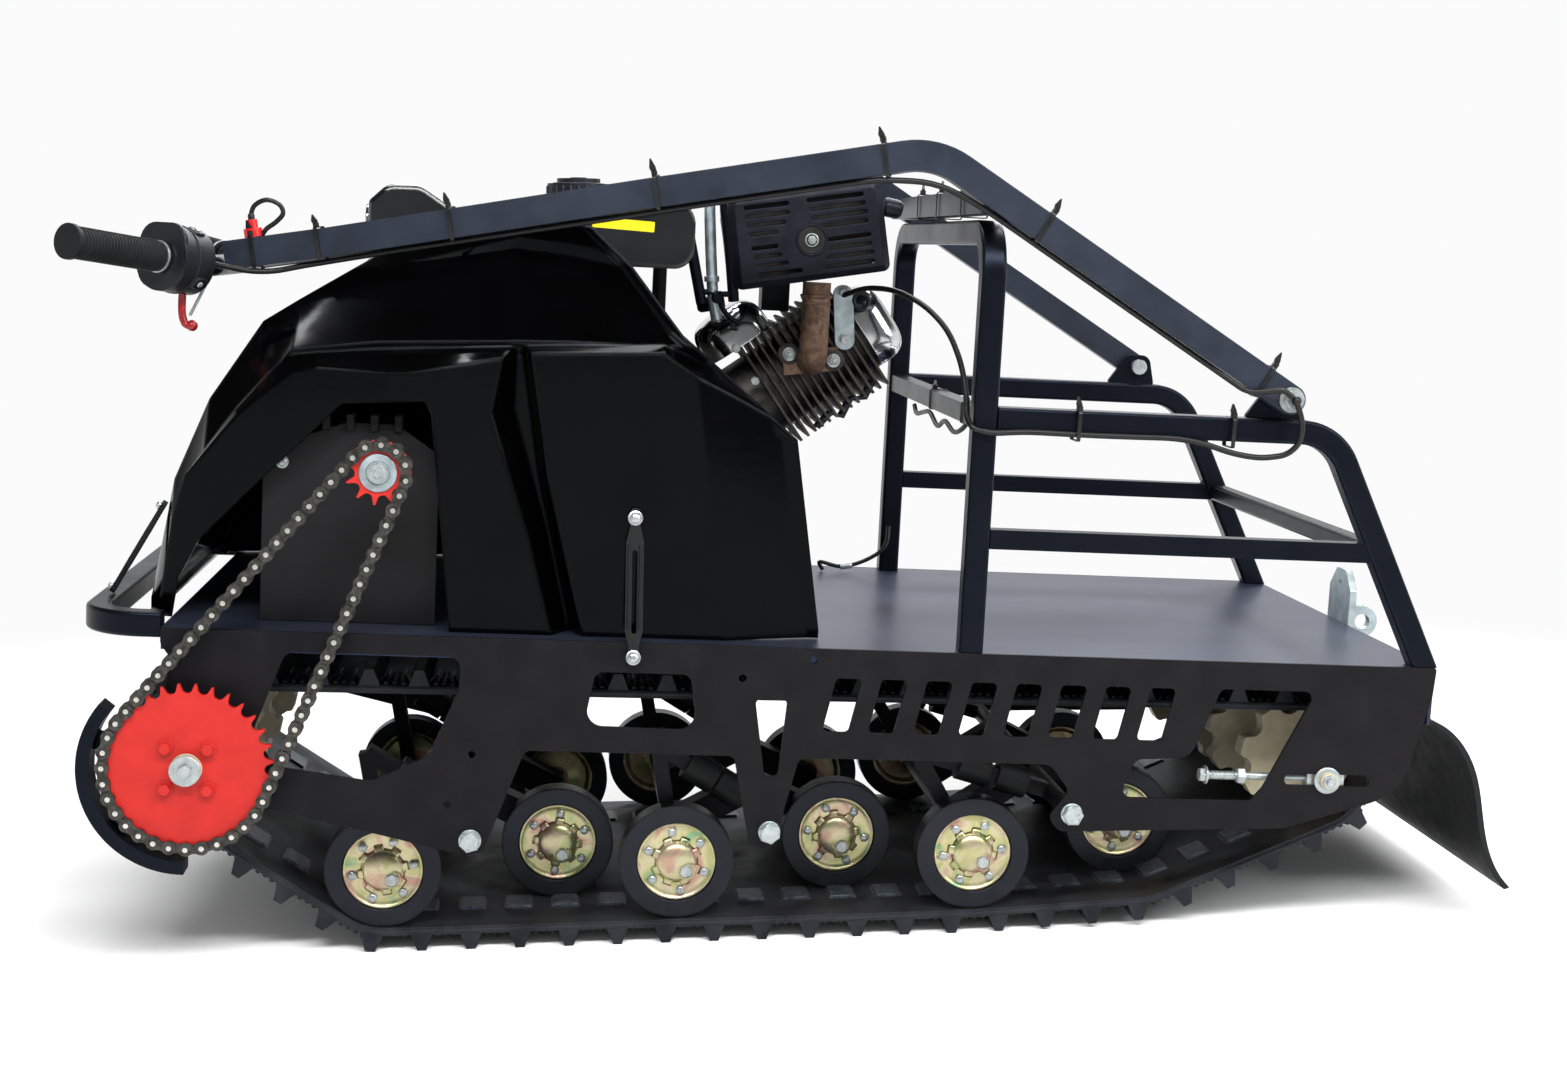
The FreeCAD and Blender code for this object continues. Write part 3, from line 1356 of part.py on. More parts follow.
def hood():
    """Moulded shell with raised panels, open below and behind, and the chain's opening on the left."""
    wall = size("hood_wall")
    outer = [hood_shell("outer", 0, 1.0)]
    inner = [hood_shell("inner", wall, -3.0)]
    for root, face in ((ARCH_ROOT, ARCH_FACE), (PANEL_ROOT, PANEL_FACE)):
        for side in (1, -1):
            outer.append(raised_panel(root, face, side, 0))
            inner.append(raised_panel(root, face, side, wall))
    lip = [(x + 12, z) for x, z in reversed(HOOD_REAR[1:6])]
    outer.append(common(hood_shell("rim", -3, 1.0), side_prism(HOOD_REAR[1:6] + lip, 290, 580)))
    whole, room = doc.addObject("Part::MultiFuse", "whole"), doc.addObject("Part::MultiFuse", "room")
    whole.Shapes, room.Shapes = outer, inner
    behind = side_prism(HOOD_REAR + [(60, -12), (60, 430)], 310, 620)
    opening = side_prism([
        (812, -5), (805, 41), (784, 82), (723, 146, 12), (644, 226, 10), (562, 232, 6), (556, 218, 4), (531, -5),
    ], 310, 110)
    tank_well = side_prism([(280, 340), (500, 340), (500, 440), (280, 440)], 150, 300)
    cuts = doc.addObject("Part::MultiFuse", "cuts")
    cuts.Shapes = [room, behind, opening, tank_well]
    cut(whole, cuts, "hood")


def headlamp():
    """Lamp with an upright face and a rounded back, seated on the slope of the hood."""
    body = new_body("headlamp")
    half = size("lamp_width") / 2
    outline = rounded([
        (548, 392.1, 3), (548, 426, 8), (586, 450, 26), (622, 449, 22), (642, 430, 10), (642, 373.9, 3),
    ])
    soften(body, side_pad(body, f"{half}", f"{2 * half}", outline), 6.0, half)


# ---------------------------------------------------------------- drawbar


def bent_path(points):
    """Straight runs joined by tangent arcs; points are (place, radius)."""
    spots = [Vector(p[0]) for p in points]
    edges = []
    last = spots[0]
    for i in range(1, len(spots) - 1):
        before = (spots[i - 1] - spots[i]).normalize()
        after = (spots[i + 1] - spots[i]).normalize()
        half = math.acos(before.dot(after)) / 2
        radius = points[i][1]
        reach = radius / math.tan(half)
        axis = (before + after).normalize()
        middle = spots[i] + axis * (radius / math.sin(half) - radius)
        first, end = spots[i] + before * reach, spots[i] + after * reach
        edges.append(Part.LineSegment(last, first).toShape())
        edges.append(Part.Arc(first, middle, end).toShape())
        last = end
    edges.append(Part.LineSegment(last, spots[-1]).toShape())
    return Part.Wire(edges)


def swept(points, width, height):
    """Rectangular tube along a bent path."""
    path = bent_path(points)
    spots = [Vector(p[0]) for p in points]
    ahead = (spots[1] - spots[0]).normalize()
    across = Vector(0, 1, 0)
    up = ahead.cross(across).normalize()
    across = up.cross(ahead)
    corners = [
        spots[0] + across * (width / 2 * a) + up * (height / 2 * b)
        for a, b in ((-1, -1), (1, -1), (1, 1), (-1, 1))
    ]
    section = Part.Wire(Part.makePolygon(corners + corners[:1]))
    return path.makePipeShell([section], True, False)


def drawbar():
    """Two bent tubes on the pivots, drawn together towards the handlebar, and their cross tubes."""
    x, z = -size("pivot_behind"), size("pivot_above")
    wide = size("drawbar_half_width")
    width, height = size("drawbar_wall"), size("drawbar_tube")
    solids = []
    for side in (1, -1):
        tube = swept(drawbar_route(side), width, height)
        end = Part.makeCylinder(
            height / 2, width, Vector(x, side * wide - width / 2, z), Vector(0, 1, 0)
        )
        tube = tube.fuse(end)
        bore = Part.makeCylinder(
            size("pivot_bolt") / 2 + size("running_gap"), 60, Vector(x, side * wide - 30, z), Vector(0, 1, 0)
        )
        solids.append(tube.cut(bore))
    tube = size("tube_side")
    over = size("hoop_height") + tube / 2 + size("fold_clearance")
    inside = wide - width / 2 + 1
    cross = Part.makeBox(tube, 2 * inside, tube, Vector(5 - tube / 2, -inside, over))
    whole = solids[0].fuse([solids[1], cross])
    free_shape("drawbar", whole.removeSplitter())


def drawbar_route(side):
    """Middle of a drawbar tube from its pivot over the top bend to the nose."""
    wide, nose = side * size("drawbar_half_width"), side * size("drawbar_nose")
    return [
        ((-size("pivot_behind"), wide, size("pivot_above")), 0),
        ((size("peak_ahead"), wide, size("peak_level")), 75),
        ((340, wide - side * 64, size("peak_level") - 53), 300),
        ((668, nose + side * 28, 384), 300),
        ((778, nose, 364), 0),
    ]


def bar_end(side):
    """End of the handlebar and the direction back along its grip."""
    end = Vector(size("bar_end_ahead"), side * size("bar_end_half_width"), size("bar_end_level"))
    bend = Vector(size("bar_bend_ahead"), side * size("bar_bend_half_width"), size("bar_bend_level"))
    return end, bend, (bend - end).normalize()


def handlebar():
    """Round bar under the nose of the drawbar, with its ends swept forwards for the grips."""
    radius = size("bar_diameter") / 2
    left_end, left_bend, _ = bar_end(1)
    right_end, right_bend, _ = bar_end(-1)
    points = [(left_end, 0), (left_bend, 25), (right_bend, 25), (right_end, 0)]
    path = bent_path(points)
    start = path.Edges[0]
    ahead = start.tangentAt(start.FirstParameter)
    ring = Part.Wire(Part.makeCircle(radius, left_end, ahead))
    free_shape("handlebar", path.makePipeShell([ring], True, False))


def grips():
    """Rubber grips over the ends of the handlebar."""
    pieces = []
    for side in (1, -1):
        end, _, back = bar_end(side)
        cap = end - back * 4
        outer = cylinder("sizes.grip_diameter / 2", "sizes.grip_length + 4", cap, back)
        flange = cylinder("sizes.grip_diameter / 2 + 2.5", "5", cap, back)
        inner = cylinder("sizes.bar_diameter / 2 + 0.05", "sizes.grip_length + 4", end - back * 0.3, back)
        whole = doc.addObject("Part::MultiFuse", "grip")
        whole.Shapes = [outer, flange]
        pieces.append(cut(whole, inner))
    gather("grips", pieces)


def bar_fitting(label, side, start, length, radius):
    """Round housing clamped on the handlebar inboard of a grip."""
    end, _, back = bar_end(side)
    base = end + back * start
    outer = cylinder(f"{radius}", f"{length}", base, back)
    inner = cylinder("sizes.bar_diameter / 2 + 0.05", f"{length + 2}", base - back, back)
    return cut(outer, inner, label)


def controls():
    """Throttle housing at the left grip, brake lever beside it, stop switch on the drawbar's nose."""
    start = size("grip_length") + 2
    bar_fitting("throttle_housing", 1, start, 42, 34)
    end, _, back = bar_end(1)
    clamp = cylinder("17", "12", end + back * (start + 43), back)
    bore = cylinder("sizes.bar_diameter / 2 + 0.05", "14", end + back * (start + 42), back)
    root = end + back * (start + 49)
    lever = doc.addObject("Part::Feature", "lever_bar")
    down = [
        (root + Vector(0, 0, -15), 0), (root + Vector(-2, -3, -46), 20),
        (root + Vector(14, 10, -70), 10), (root + Vector(6, 16, -86), 0),
    ]
    path = bent_path(down)
    first = path.Edges[0]
    ring = Part.Wire(Part.makeCircle(4, down[0][0], first.tangentAt(first.FirstParameter)))
    lever.Shape = path.makePipeShell([ring], True, False)
    join("brake_lever", [cut(clamp, bore), lever])
    up = Vector(math.sin(math.radians(10)), 0, math.cos(math.radians(10)))
    seat = Vector(748, size("drawbar_nose") + 7, 370) + up * (size("drawbar_tube") / 2 + 0.5)
    base = cylinder("9.5", "9", seat, up)
    button = cylinder("6", "18", seat, up)
    join("stop_switch", [base, button])


def strap(low, high, width, thick, slot):
    """Flat rubber latch strap between two studs, waisted at its ends, with a slot along its middle."""
    run = high - low
    length = run.Length
    ahead = run / length
    across = Vector(1, 0, 0) if abs(run.x) < abs(run.z) / 3 else Vector(0, 1, 0)
    out = ahead.cross(across).normalize()
    across = out.cross(ahead)
    half, tab, neck = width / 2, width * 0.62 / 2, 20
    outline = rounded([
        (-tab, 0, tab - 0.1), (tab, 0, tab - 0.1), (tab, neck, 4), (half, neck + 14, 6),
        (half, length - neck - 14, 6), (tab, length - neck, 4), (tab, length, tab - 0.1),
        (-tab, length, tab - 0.1), (-tab, length - neck, 4), (-half, length - neck - 14, 6),
        (-half, neck + 14, 6), (-tab, neck, 4),
    ])
    gap = half * 0.28
    hole = rounded([
        (-gap, neck + 12, gap - 0.05), (gap, neck + 12, gap - 0.05),
        (gap, neck + 12 + slot, gap - 0.05), (-gap, neck + 12 + slot, gap - 0.05),
    ])
    wires = [Part.Wire([edge.toShape() for edge in edges]) for edges in (outline, hole)]
    sheet_face = Part.Face(wires[0]).cut(Part.Face(wires[1])).Faces[0]
    solid = sheet_face.extrude(Vector(0, 0, thick))
    solid.translate(Vector(0, 0, -thick / 2))
    frame = FreeCAD.Matrix(
        across.x, ahead.x, out.x, low.x,
        across.y, ahead.y, out.y, low.y,
        across.z, ahead.z, out.z, low.z,
        0, 0, 0, 1,
    )
    solid.transformShape(frame)
    return solid


def hood_straps():
    """Rubber straps that hold the hood: one on each flank and two at the nose."""
    solids = []
    gap = size("seat_gap")
    for side in (1, -1):
        low = Vector(346, side * (size("half_width") + 7.2), -22)
        high = Vector(349, side * (size("hood_face") + 3 + gap), 134)
        solids.append(strap(low, high, 18, 6, 84))
        low = Vector(880, side * 190, 15.85)
        high = Vector(827, side * 188, 112)
        solids.append(strap(low, high, 13, 5, 30))
    free_shape("hood_straps", Part.Compound(solids))


# ---------------------------------------------------------------- cables


def cord_path(points):
    """Straight runs joined by arcs as large as the runs allow, and the smallest radius used."""
    spots = [Vector(*point) for point in points]
    bends = [(spots[0], 0)]
    radii = []
    for i in range(1, len(spots) - 1):
        before, after = spots[i] - spots[i - 1], spots[i + 1] - spots[i]
        turn = before.getAngle(after)
        radius = 0.45 * min(before.Length, after.Length) / math.tan(turn / 2)
        radii.append(round(radius))
        bends.append((spots[i], radius))
    bends.append((spots[-1], 0))
    return bent_path(bends), radii


def cord(label, points, diameter, boot=0.0):
    """Round cord along its route, with a round rubber boot over its far end."""
    path, radii = cord_path(points)
    start = path.Edges[0]
    ring = Part.Wire(Part.makeCircle(diameter / 2, Vector(*points[0]), start.tangentAt(start.FirstParameter)))
    tube = path.makePipeShell([ring], True, False)
    share = tube.Volume / (math.pi * diameter ** 2 / 4 * path.Length)
    print(label, "length", round(path.Length), "radii", radii, "volume share", round(share, 4))
    if boot:
        tube = tube.fuse(Part.makeSphere(boot, Vector(*points[-1])))
    free_shape(label, tube)


def throttle_cable():
    """Cable from the carburettor past the hoop and along the near rail to the pivot axis."""
    beside = size("rack_half_width") + size("tube_side") / 2 + size("cable_diameter") / 2 + size("seat_gap")
    level = size("top_rail_height") - 11
    front = size("tube_side") / 2 + size("cable_diameter") / 2 + 1.2
    x, z = -size("pivot_behind"), size("pivot_above")
    cord("throttle_cable", [
        (122, 70, 354), (102, 100, 364), (76, 142, 364), (50, 184, 350), (30, 222, 326), (front + 3, 254, 292),
        (front, 276, 258), (front + 2, 293, 241), (front - 2, beside + 3, 231), (-6, beside + 2.6, 227),
        (-40, beside, level), (-120, beside, level - 1),
        (-196, beside, level), (-226, beside + 2, 226), (-256, beside + 6, 217), (-284, beside + 12, 214),
        (-308, beside + 19, 219), (-319, beside + 25, 232), (-319, beside + 29, 252), (x, size("cable_plane"), z),
    ], size("cable_diameter"), 5.0)


def drawbar_cable():
    """The same cable from the pivot axis along the underside of the near tube to the throttle."""
    route = [Vector(*spot) for spot, _ in drawbar_route(1)]
    x, z = -size("pivot_behind"), size("pivot_above")
    slope = route[1] - route[0]
    drop = (size("drawbar_tube") + size("cable_diameter")) / 2 + size("seat_gap")
    beside = route[0].y + 3
    axis = Vector(x, size("cable_plane"), z)
    ahead = Vector(0.79, -0.05, 0.61)
    points = [tuple(axis + ahead * 5.3), tuple(axis + ahead * 17), (-282, 325, 283), (-262, 320, 281)]
    for ahead in (-226, 20):
        level = z + (ahead - x) * slope.z / slope.x - drop * slope.Length / slope.x
        points.append((ahead, beside, level))
    peak, knee, nose = route[1], route[2], route[3]
    points.append((peak.x - 2, beside, peak.z - drop - 11))
    points.append((peak.x + 50, beside - 8, peak.z - drop - 11))
    for share in (0.3, 0.9):
        spot = peak + (knee - peak) * share
        points.append((spot.x, spot.y + 3 * (1 - share), spot.z - drop))
    for share in (0.12, 0.9):
        spot = knee + (nose - knee) * share
        points.append((spot.x, spot.y, spot.z - drop - 0.4))
    end, _, back = bar_end(1)
    inboard = end + back * (size("grip_length") + 2 + 42 + 0.3)
    port = inboard + Vector(back.y, -back.x, 0) * 22
    points += [(700, 151, 358), (728, 148, 351), (752, 156, 350)]
    points += [tuple(port + back * 16), tuple(port)]
    cord("drawbar_cable", points, size("cable_diameter"))


def stand_on_ground():
    """Rake the whole assembly and lift it on to the ground, centred on its length."""
    lean = Rotation(Vector(0, 1, 0), -size("rake_angle"))
    whole = None
    for part in PARTS:
        shape = part.Shape.copy()
        shape.Placement = Placement(Vector(), lean).multiply(shape.Placement)
        bounds = shape.BoundBox
        whole = bounds if whole is None else whole.united(bounds)
    shift = Vector(-(whole.XMin + whole.XMax) / 2, 0, -whole.ZMin)
    for part in PARTS:
        part.Placement = Placement(shift, lean).multiply(part.Placement)
    doc.recompute()
    print(f"chassis frame zero at {shift.x:.4f}, {shift.y:.4f}, {shift.z:.4f}")
    print("size", whole.XLength, whole.YLength, whole.ZLength, "Y", whole.YMin, whole.YMax)


def build():
    side_plate("side_plate_left", "sizes.half_width")
    side_plate("side_plate_right", "sizes.plate_thickness - sizes.half_width")
    deck()
    front_bumper()
    front_hoop()
    rack_rail("rack_rail_left", 1)
    rack_rail("rack_rail_right", -1)
    rack_cross_bar()
    pivot_bolts()
    tow_hitch()
    mud_flap()
    track()
    drive_axle()
    idler_axle()
    road_wheels()
    for i, label in enumerate(("bogie_front", "bogie_middle", "bogie_rear")):
        bogie(label, i)
    bump_stops()
    tensioners()
    sprocket("drive_sprocket", 0, size("big_teeth"), 12.55, 20, 12)
    sprocket("engine_sprocket", 1, size("small_teeth"), 10.05, 16, 20)
    drive_chain()
    chain_guard()
    bearing_panel()
    jackshaft()
    engine_block()
    cylinder_fins()
    head_cover()
    cylinder_shroud()
    tank_brackets()
    air_cleaner()
    fuel_tank()
    tank_cap()
    muffler_guard()
    silencer()
    exhaust_pipe()
    muffler_bracket()
    hood()
    headlamp()
    drawbar()
    handlebar()
    grips()
    controls()
    hood_straps()
    throttle_cable()
    drawbar_cable()
    recoil_starter()
    doc.recompute()


def check(parts):
    for item in doc.Objects:
        if "Invalid" in item.State or "Error" in item.State:
            raise RuntimeError(f"{item.Label} failed: {item.State}")
    for part in parts:
        if part.Shape.isNull() or not part.Shape.isValid() or not part.Shape.Solids:
            raise RuntimeError(f"{part.Label} has no valid solid")


build()
check(PARTS)
stand_on_ground()
check(PARTS)
os.makedirs("parts", exist_ok=True)
for part in PARTS:
    part.Shape.exportStep(f"parts/{part.Label}.step")
    print(part.Label, len(part.Shape.Solids), round(part.Shape.Volume / 1000, 1), "cm3")
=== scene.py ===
import json
from math import atan2, copysign, cos, dist, hypot, pi, radians, sin, sqrt, tau

import bmesh
import bpy
from bpy.props import FloatProperty, FloatVectorProperty, IntProperty, PointerProperty
from mathutils import Matrix, Vector


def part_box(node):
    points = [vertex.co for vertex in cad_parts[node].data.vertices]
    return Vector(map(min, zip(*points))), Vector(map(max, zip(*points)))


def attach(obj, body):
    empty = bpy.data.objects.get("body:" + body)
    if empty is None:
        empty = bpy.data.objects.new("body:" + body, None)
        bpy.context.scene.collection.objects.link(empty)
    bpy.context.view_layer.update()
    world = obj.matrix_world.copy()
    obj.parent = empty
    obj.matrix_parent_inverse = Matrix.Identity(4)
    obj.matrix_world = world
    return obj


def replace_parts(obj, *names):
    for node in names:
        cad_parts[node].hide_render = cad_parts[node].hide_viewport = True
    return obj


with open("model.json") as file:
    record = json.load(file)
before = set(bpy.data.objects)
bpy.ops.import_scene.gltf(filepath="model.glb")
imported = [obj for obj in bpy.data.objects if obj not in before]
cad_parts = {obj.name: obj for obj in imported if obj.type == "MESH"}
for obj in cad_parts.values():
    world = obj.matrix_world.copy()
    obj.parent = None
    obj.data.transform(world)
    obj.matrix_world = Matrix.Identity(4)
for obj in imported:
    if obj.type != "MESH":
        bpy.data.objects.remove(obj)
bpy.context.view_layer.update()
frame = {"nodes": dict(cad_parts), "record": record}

bl_info = {
    "name": "Tracked towing vehicle",
    "version": (1, 0, 0),
    "blender": (4, 5, 0),
    "location": "View3D > Sidebar > Towing vehicle",
    "description": "Builds the visible pieces, finishes and studio of a tracked snow towing vehicle",
    "category": "Add Mesh",
}

MM = 0.001
# The deck's rake over the ground, and the way along it from the towing eye to the hoop's foot in mm.
RAKE = radians(3)
EYE_TO_HOOP = 524.3


# ---- places


def axes(right, up, out, origin):
    """Matrix whose columns are three world directions, standing at a world place."""
    rows = Matrix((right, up, out)).transposed().to_4x4()
    rows.translation = origin
    return rows


def deck_frame():
    """Matrix from the deck's own axes (ahead, left, up from the foot of the hoop) to the world.

    The deck rakes nose up over the ground, and the towing eye lies in its plane.
    """
    ahead = Vector((cos(RAKE), 0, sin(RAKE)))
    up = Vector((-sin(RAKE), 0, cos(RAKE)))
    eye = next(m for m in frame["record"]["mounts"] if m["name"] == "tow_eye")
    return axes(ahead, (0, 1, 0), up, Vector(eye["pos_m"]) + ahead * (EYE_TO_HOOP * MM))


DECK = deck_frame()


def spot(x, y, z):
    """World place in metres of a point given in the deck's axes in millimetres."""
    return DECK @ (Vector((x, y, z)) * MM)


def heading(x, y, z):
    """World direction of a direction in the deck's axes."""
    return (DECK.to_3x3() @ Vector((x, y, z))).normalized()


def facing(x, y, z, direction=(0, 1, 0), turn=0.0):
    """Matrix that puts a shape drawn on XY, its face to +Z, at a deck place and facing a direction.

    For a shape that faces sideways or level, +Y of the drawing stays upwards.
    """
    normal = heading(*direction)
    up = heading(0, 0, 1) if abs(normal.dot(heading(0, 0, 1))) < 0.95 else heading(1, 0, 0)
    right = up.cross(normal).normalized()
    return axes(right, normal.cross(right), normal, spot(x, y, z)) @ turned(turn)


def turned(angle):
    """Matrix that turns about +Z."""
    return Matrix.Rotation(angle, 4, "Z")


def moved(place, x, y, z):
    """A matrix moved along its own axes, in mm."""
    return place @ Matrix.Translation((x * MM, y * MM, z * MM))


def left_face(*nodes):
    """Where the outermost of some nodes ends on the left, in mm."""
    return max(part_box(node)[1][1] for node in nodes) / MM


# ---- colours and materials


def colour(code):
    """Linear RGBA of an sRGB hex value."""
    out = []
    for i in (0, 2, 4):
        v = int(code[i:i + 2], 16) / 255
        out.append(v / 12.92 if v <= 0.04045 else ((v + 0.055) / 1.055) ** 2.4)
    return (*out, 1.0)


def add_node(tree, kind, links=None, **settings):
    """One node with its settings.

    links maps an input to a value, an output, a node, whose first output is meant, or a list of nodes.
    """
    node = tree.nodes.new(kind)
    for key, value in settings.items():
        setattr(node, key, value)
    for key, value in (links or {}).items():
        for given in value if isinstance(value, list) else [value]:
            if isinstance(given, bpy.types.Node):
                given = given.outputs[0]
            if isinstance(given, bpy.types.NodeSocket):
                tree.links.new(given, node.inputs[key])
            else:
                node.inputs[key].default_value = given
    return node


def new_material(name):
    material = bpy.data.materials.new(name)
    material.use_nodes = True
    material.node_tree.nodes.clear()
    return material


def colour_ramp(tree, source, stops):
    """Colour ramp through (position, hex) stops."""
    node = add_node(tree, "ShaderNodeValToRGB", {"Fac": source})
    elements = node.color_ramp.elements
    while len(elements) < len(stops):
        elements.new(0.5)
    for element, (position, code) in zip(elements, stops):
        element.position, element.color = position, colour(code)
    return node


def coated_surface(name, light, dark, rough, mottle, grain, bump, edge=0.0, metallic=0.0, specular=0.5,
                   coat=0.0, coat_rough=0.1, sheen="FFFFFF"):
    """Opaque surface: near colours mottled, roughness varied, a fine grain and rounded edges.

    light, dark and the reflection's tint are hex; the tint is painted, a bluish light laid on the
    reflections. rough is the mottle's two roughnesses. In mm are the sizes of mottle and grain, the
    grain's height and edge, the radius that bare edges seem to have.
    """
    material = new_material(name)
    tree = material.node_tree
    place = add_node(tree, "ShaderNodeTexCoord").outputs["Object"]
    clouds = add_node(tree, "ShaderNodeTexNoise", {
        "Vector": place, "Scale": 1000 / mottle, "Detail": 5.0, "Roughness": 0.6})
    grit = add_node(tree, "ShaderNodeTexNoise", {
        "Vector": place, "Scale": 1000 / grain, "Detail": 3.0, "Roughness": 0.55})
    skin_links = {"Height": grit, "Distance": bump * MM, "Strength": 1.0}
    if edge:
        skin_links["Normal"] = add_node(tree, "ShaderNodeBevel", {"Radius": edge * MM}, samples=6)
    # The Specular Tint below is painted light: where a finish gives a bluish tint, it makes the reflections
    # bluish.
    shader = add_node(tree, "ShaderNodeBsdfPrincipled", {
        "Base Color": colour_ramp(tree, clouds, ((0.35, dark), (0.68, light))),
        "Roughness": cloudy_roughness(tree, clouds, *rough),
        "Normal": add_node(tree, "ShaderNodeBump", skin_links), "Metallic": metallic,
        "Specular IOR Level": specular, "Coat Weight": coat, "Coat Roughness": coat_rough,
        "Specular Tint": colour(sheen)})
    add_node(tree, "ShaderNodeOutputMaterial", {"Surface": shader})
    return material


def cloudy_roughness(tree, clouds, low, high):
    """Roughness that goes from low to high with a mottle."""
    return add_node(tree, "ShaderNodeMapRange", {
        "Value": clouds, "From Min": 0.3, "From Max": 0.7, "To Min": low, "To Max": high})


def look(*sizes, **more):
    """A finish as coated_surface takes it, but for its name."""
    return sizes, more


# Each row holds light, dark, rough, mottle, grain, bump and edge, then what differs by name.
# A reflection tint given in a row is painted light: it makes that finish's reflections bluish, as under
# bluish light.
FINISHES = {
    # Powder coat on steel: even satin black with an orange-peel skin; the faint blue in its black and in its
    # reflection is painted bluish light.
    "satin powder coat": look("0B0D12", "07090D", (0.28, 0.36), 60, 1.6, 0.03, 1.2, specular=0.2,
        sheen="BFD0FA"),
    # The same coat on the plates, scuffed and faintly warmer where hands and snow rub it.
    "plate powder coat": look("161517", "0F0E10", (0.42, 0.52), 34, 1.4, 0.05, 0.8, specular=0.2,
        sheen="DFDDE8"),
    # Vacuum-formed plastic: deep gloss black that waves a little over a hand's width.
    "gloss moulding": look("030304", "010101", (0.08, 0.14), 90, 26, 0.1, 6, specular=0.14, sheen="E4E9FA"),
    # Sheet painted charcoal with a matte structured paint.
    "charcoal structure paint": look("141215", "0E0D10", (0.5, 0.6), 30, 1.2, 0.07, 1.5, specular=0.3),
    # High-temperature paint on the silencer's guard, chalky from heat.
    "stove black": look("15161B", "0D0E12", (0.34, 0.46), 24, 1.2, 0.06, 2, specular=0.32, sheen="CCD6F2"),
    # Wet-painted tank: smooth gloss black.
    "gloss tank paint": look("14161C", "090A0D", (0.06, 0.12), 60, 14, 0.05, 6, specular=0.9, coat=1.0,
        coat_rough=0.03),
    # Moulded carbon-black rubber: matte with a faint bloom.
    "moulded rubber": look("131417", "0A0B0D", (0.5, 0.72), 25, 1.0, 0.06, 1.5, specular=0.3),
    # Track belt: rubber with a dusty bloom, and a painted bluish tint on its reflections that shows on its
    # flanks.
    "track rubber": look("2E2E32", "16161A", (0.42, 0.62), 38, 1.3, 0.08, 1.5, specular=0.36,
        sheen="D8E2F4"),
    # Solid tyre rubber, polished by rolling.
    "tyre rubber": look("1B1B1F", "0E0F12", (0.28, 0.44), 18, 1.4, 0.05, 3, specular=0.42, sheen="D8E2F4"),
    # Bright zinc plate: bluish silver with cloudy roughness.
    "bright zinc": look("C6CDCC", "A3AAAC", (0.26, 0.4), 8, 0.8, 0.02, 0.35, metallic=0.72),
    # Steel sheet, cold rolled and zinc plated, on the brackets.
    "zinc sheet": look("CAD6DA", "A6B4B9", (0.34, 0.5), 14, 1.0, 0.03, 0.8, metallic=0.9),
    # Pressed clips on the belt, worn bluish where the star wheels run.
    "worn clip steel": look("6A727C", "363B42", (0.34, 0.5), 9, 1.0, 0.05, 1, metallic=0.6),
    # The drawbar's coat, glossier than the frame's; its lighter, bluer colour is painted light, standing in
    # for the light and bluish reflections on its upper faces.
    "tube powder coat": look("2A2F39", "20242C", (0.3, 0.38), 70, 1.6, 0.03, 1.6, specular=0.42,
        sheen="D0DCF5"),
    # The deck's sheet, coated smooth so that it mirrors the far side of the studio; the blue in its colour
    # and in its reflection tint is painted, standing in for bluish light it reflects.
    "deck powder coat": look("2B303C", "222733", (0.3, 0.36), 120, 1.6, 0.03, 1, specular=0.62,
        sheen="A9C0FF"),
    # Red powder coat over a laser-cut sprocket.
    "red powder coat": look("C6251E", "B81F19", (0.42, 0.55), 22, 1.4, 0.04, 0.5, specular=0.35),
    # Oiled roller chain: brown-black side plates.
    "oiled chain steel": look("5E5C58", "34322F", (0.34, 0.5), 5, 1.0, 0.03, 0.4, metallic=0.85),
    # Ground ends of the chain's pins.
    "ground steel": look("E8E6E0", "C9C6BE", (0.2, 0.3), 4, 0.8, 0.01, metallic=1.0),
    # Sand-cast aluminium of the crankcase, grainy and grey.
    "cast aluminium": look("534F4C", "353230", (0.42, 0.6), 9, 1.3, 0.12, 1.2, metallic=0.8),
    # Pressed cover with a bright nickel-chrome skin.
    "bright chrome": look("E6E6E8", "C9CACC", (0.08, 0.16), 40, 12, 0.03, 2, metallic=1.0),
    # Steel pipe browned by heat with rust freckles.
    "heat-browned steel": look("8C6E58", "523E34", (0.5, 0.7), 7, 1.2, 0.12, metallic=0.4),
    # Aluminised silencer seen through the louvres, dull and sooty.
    "sooty steel": look("2A2827", "141312", (0.5, 0.7), 10, 1.2, 0.08, metallic=0.5),
    # Injection-moulded black plastic with a spark-eroded skin.
    "moulded black plastic": look("1A1B1E", "101114", (0.38, 0.5), 30, 0.9, 0.05, 1.5, specular=0.4,
        sheen="D8E2F4"),
    # Star wheels of undyed nylon, pale and faintly scuffed.
    "scuffed nylon": look("D6CCAE", "AFA588", (0.42, 0.58), 45, 1.5, 0.05, 1),
    # Stop switch moulded in red ABS: even, with a soft gloss.
    "moulded red plastic": look("D81A1A", "B51214", (0.22, 0.34), 12, 1.0, 0.02, 1),
    # Lever dipped in dark red vinyl, glossy and deep.
    "dipped red vinyl": look("A3161C", "700E13", (0.2, 0.32), 10, 1.0, 0.02, 1),
    # Sheathed control cable.
    "cable sheath": look("151517", "0C0C0E", (0.35, 0.48), 20, 1.0, 0.02, specular=0.4),
    # Nylon cable tie.
    "nylon tie": look("111113", "0A0A0B", (0.3, 0.42), 14, 0.8, 0.02),
    # Blank strip of yellow film on the tank.
    "yellow film": look("F2E21C", "E6D514", (0.3, 0.4), 30, 2.0, 0.01),
    # Lamp lens of clear plastic over a bright reflector.
    "lamp lens": look("DDE3EA", "AEB6C0", (0.06, 0.12), 9, 3.0, 0.04, metallic=0.6),
}
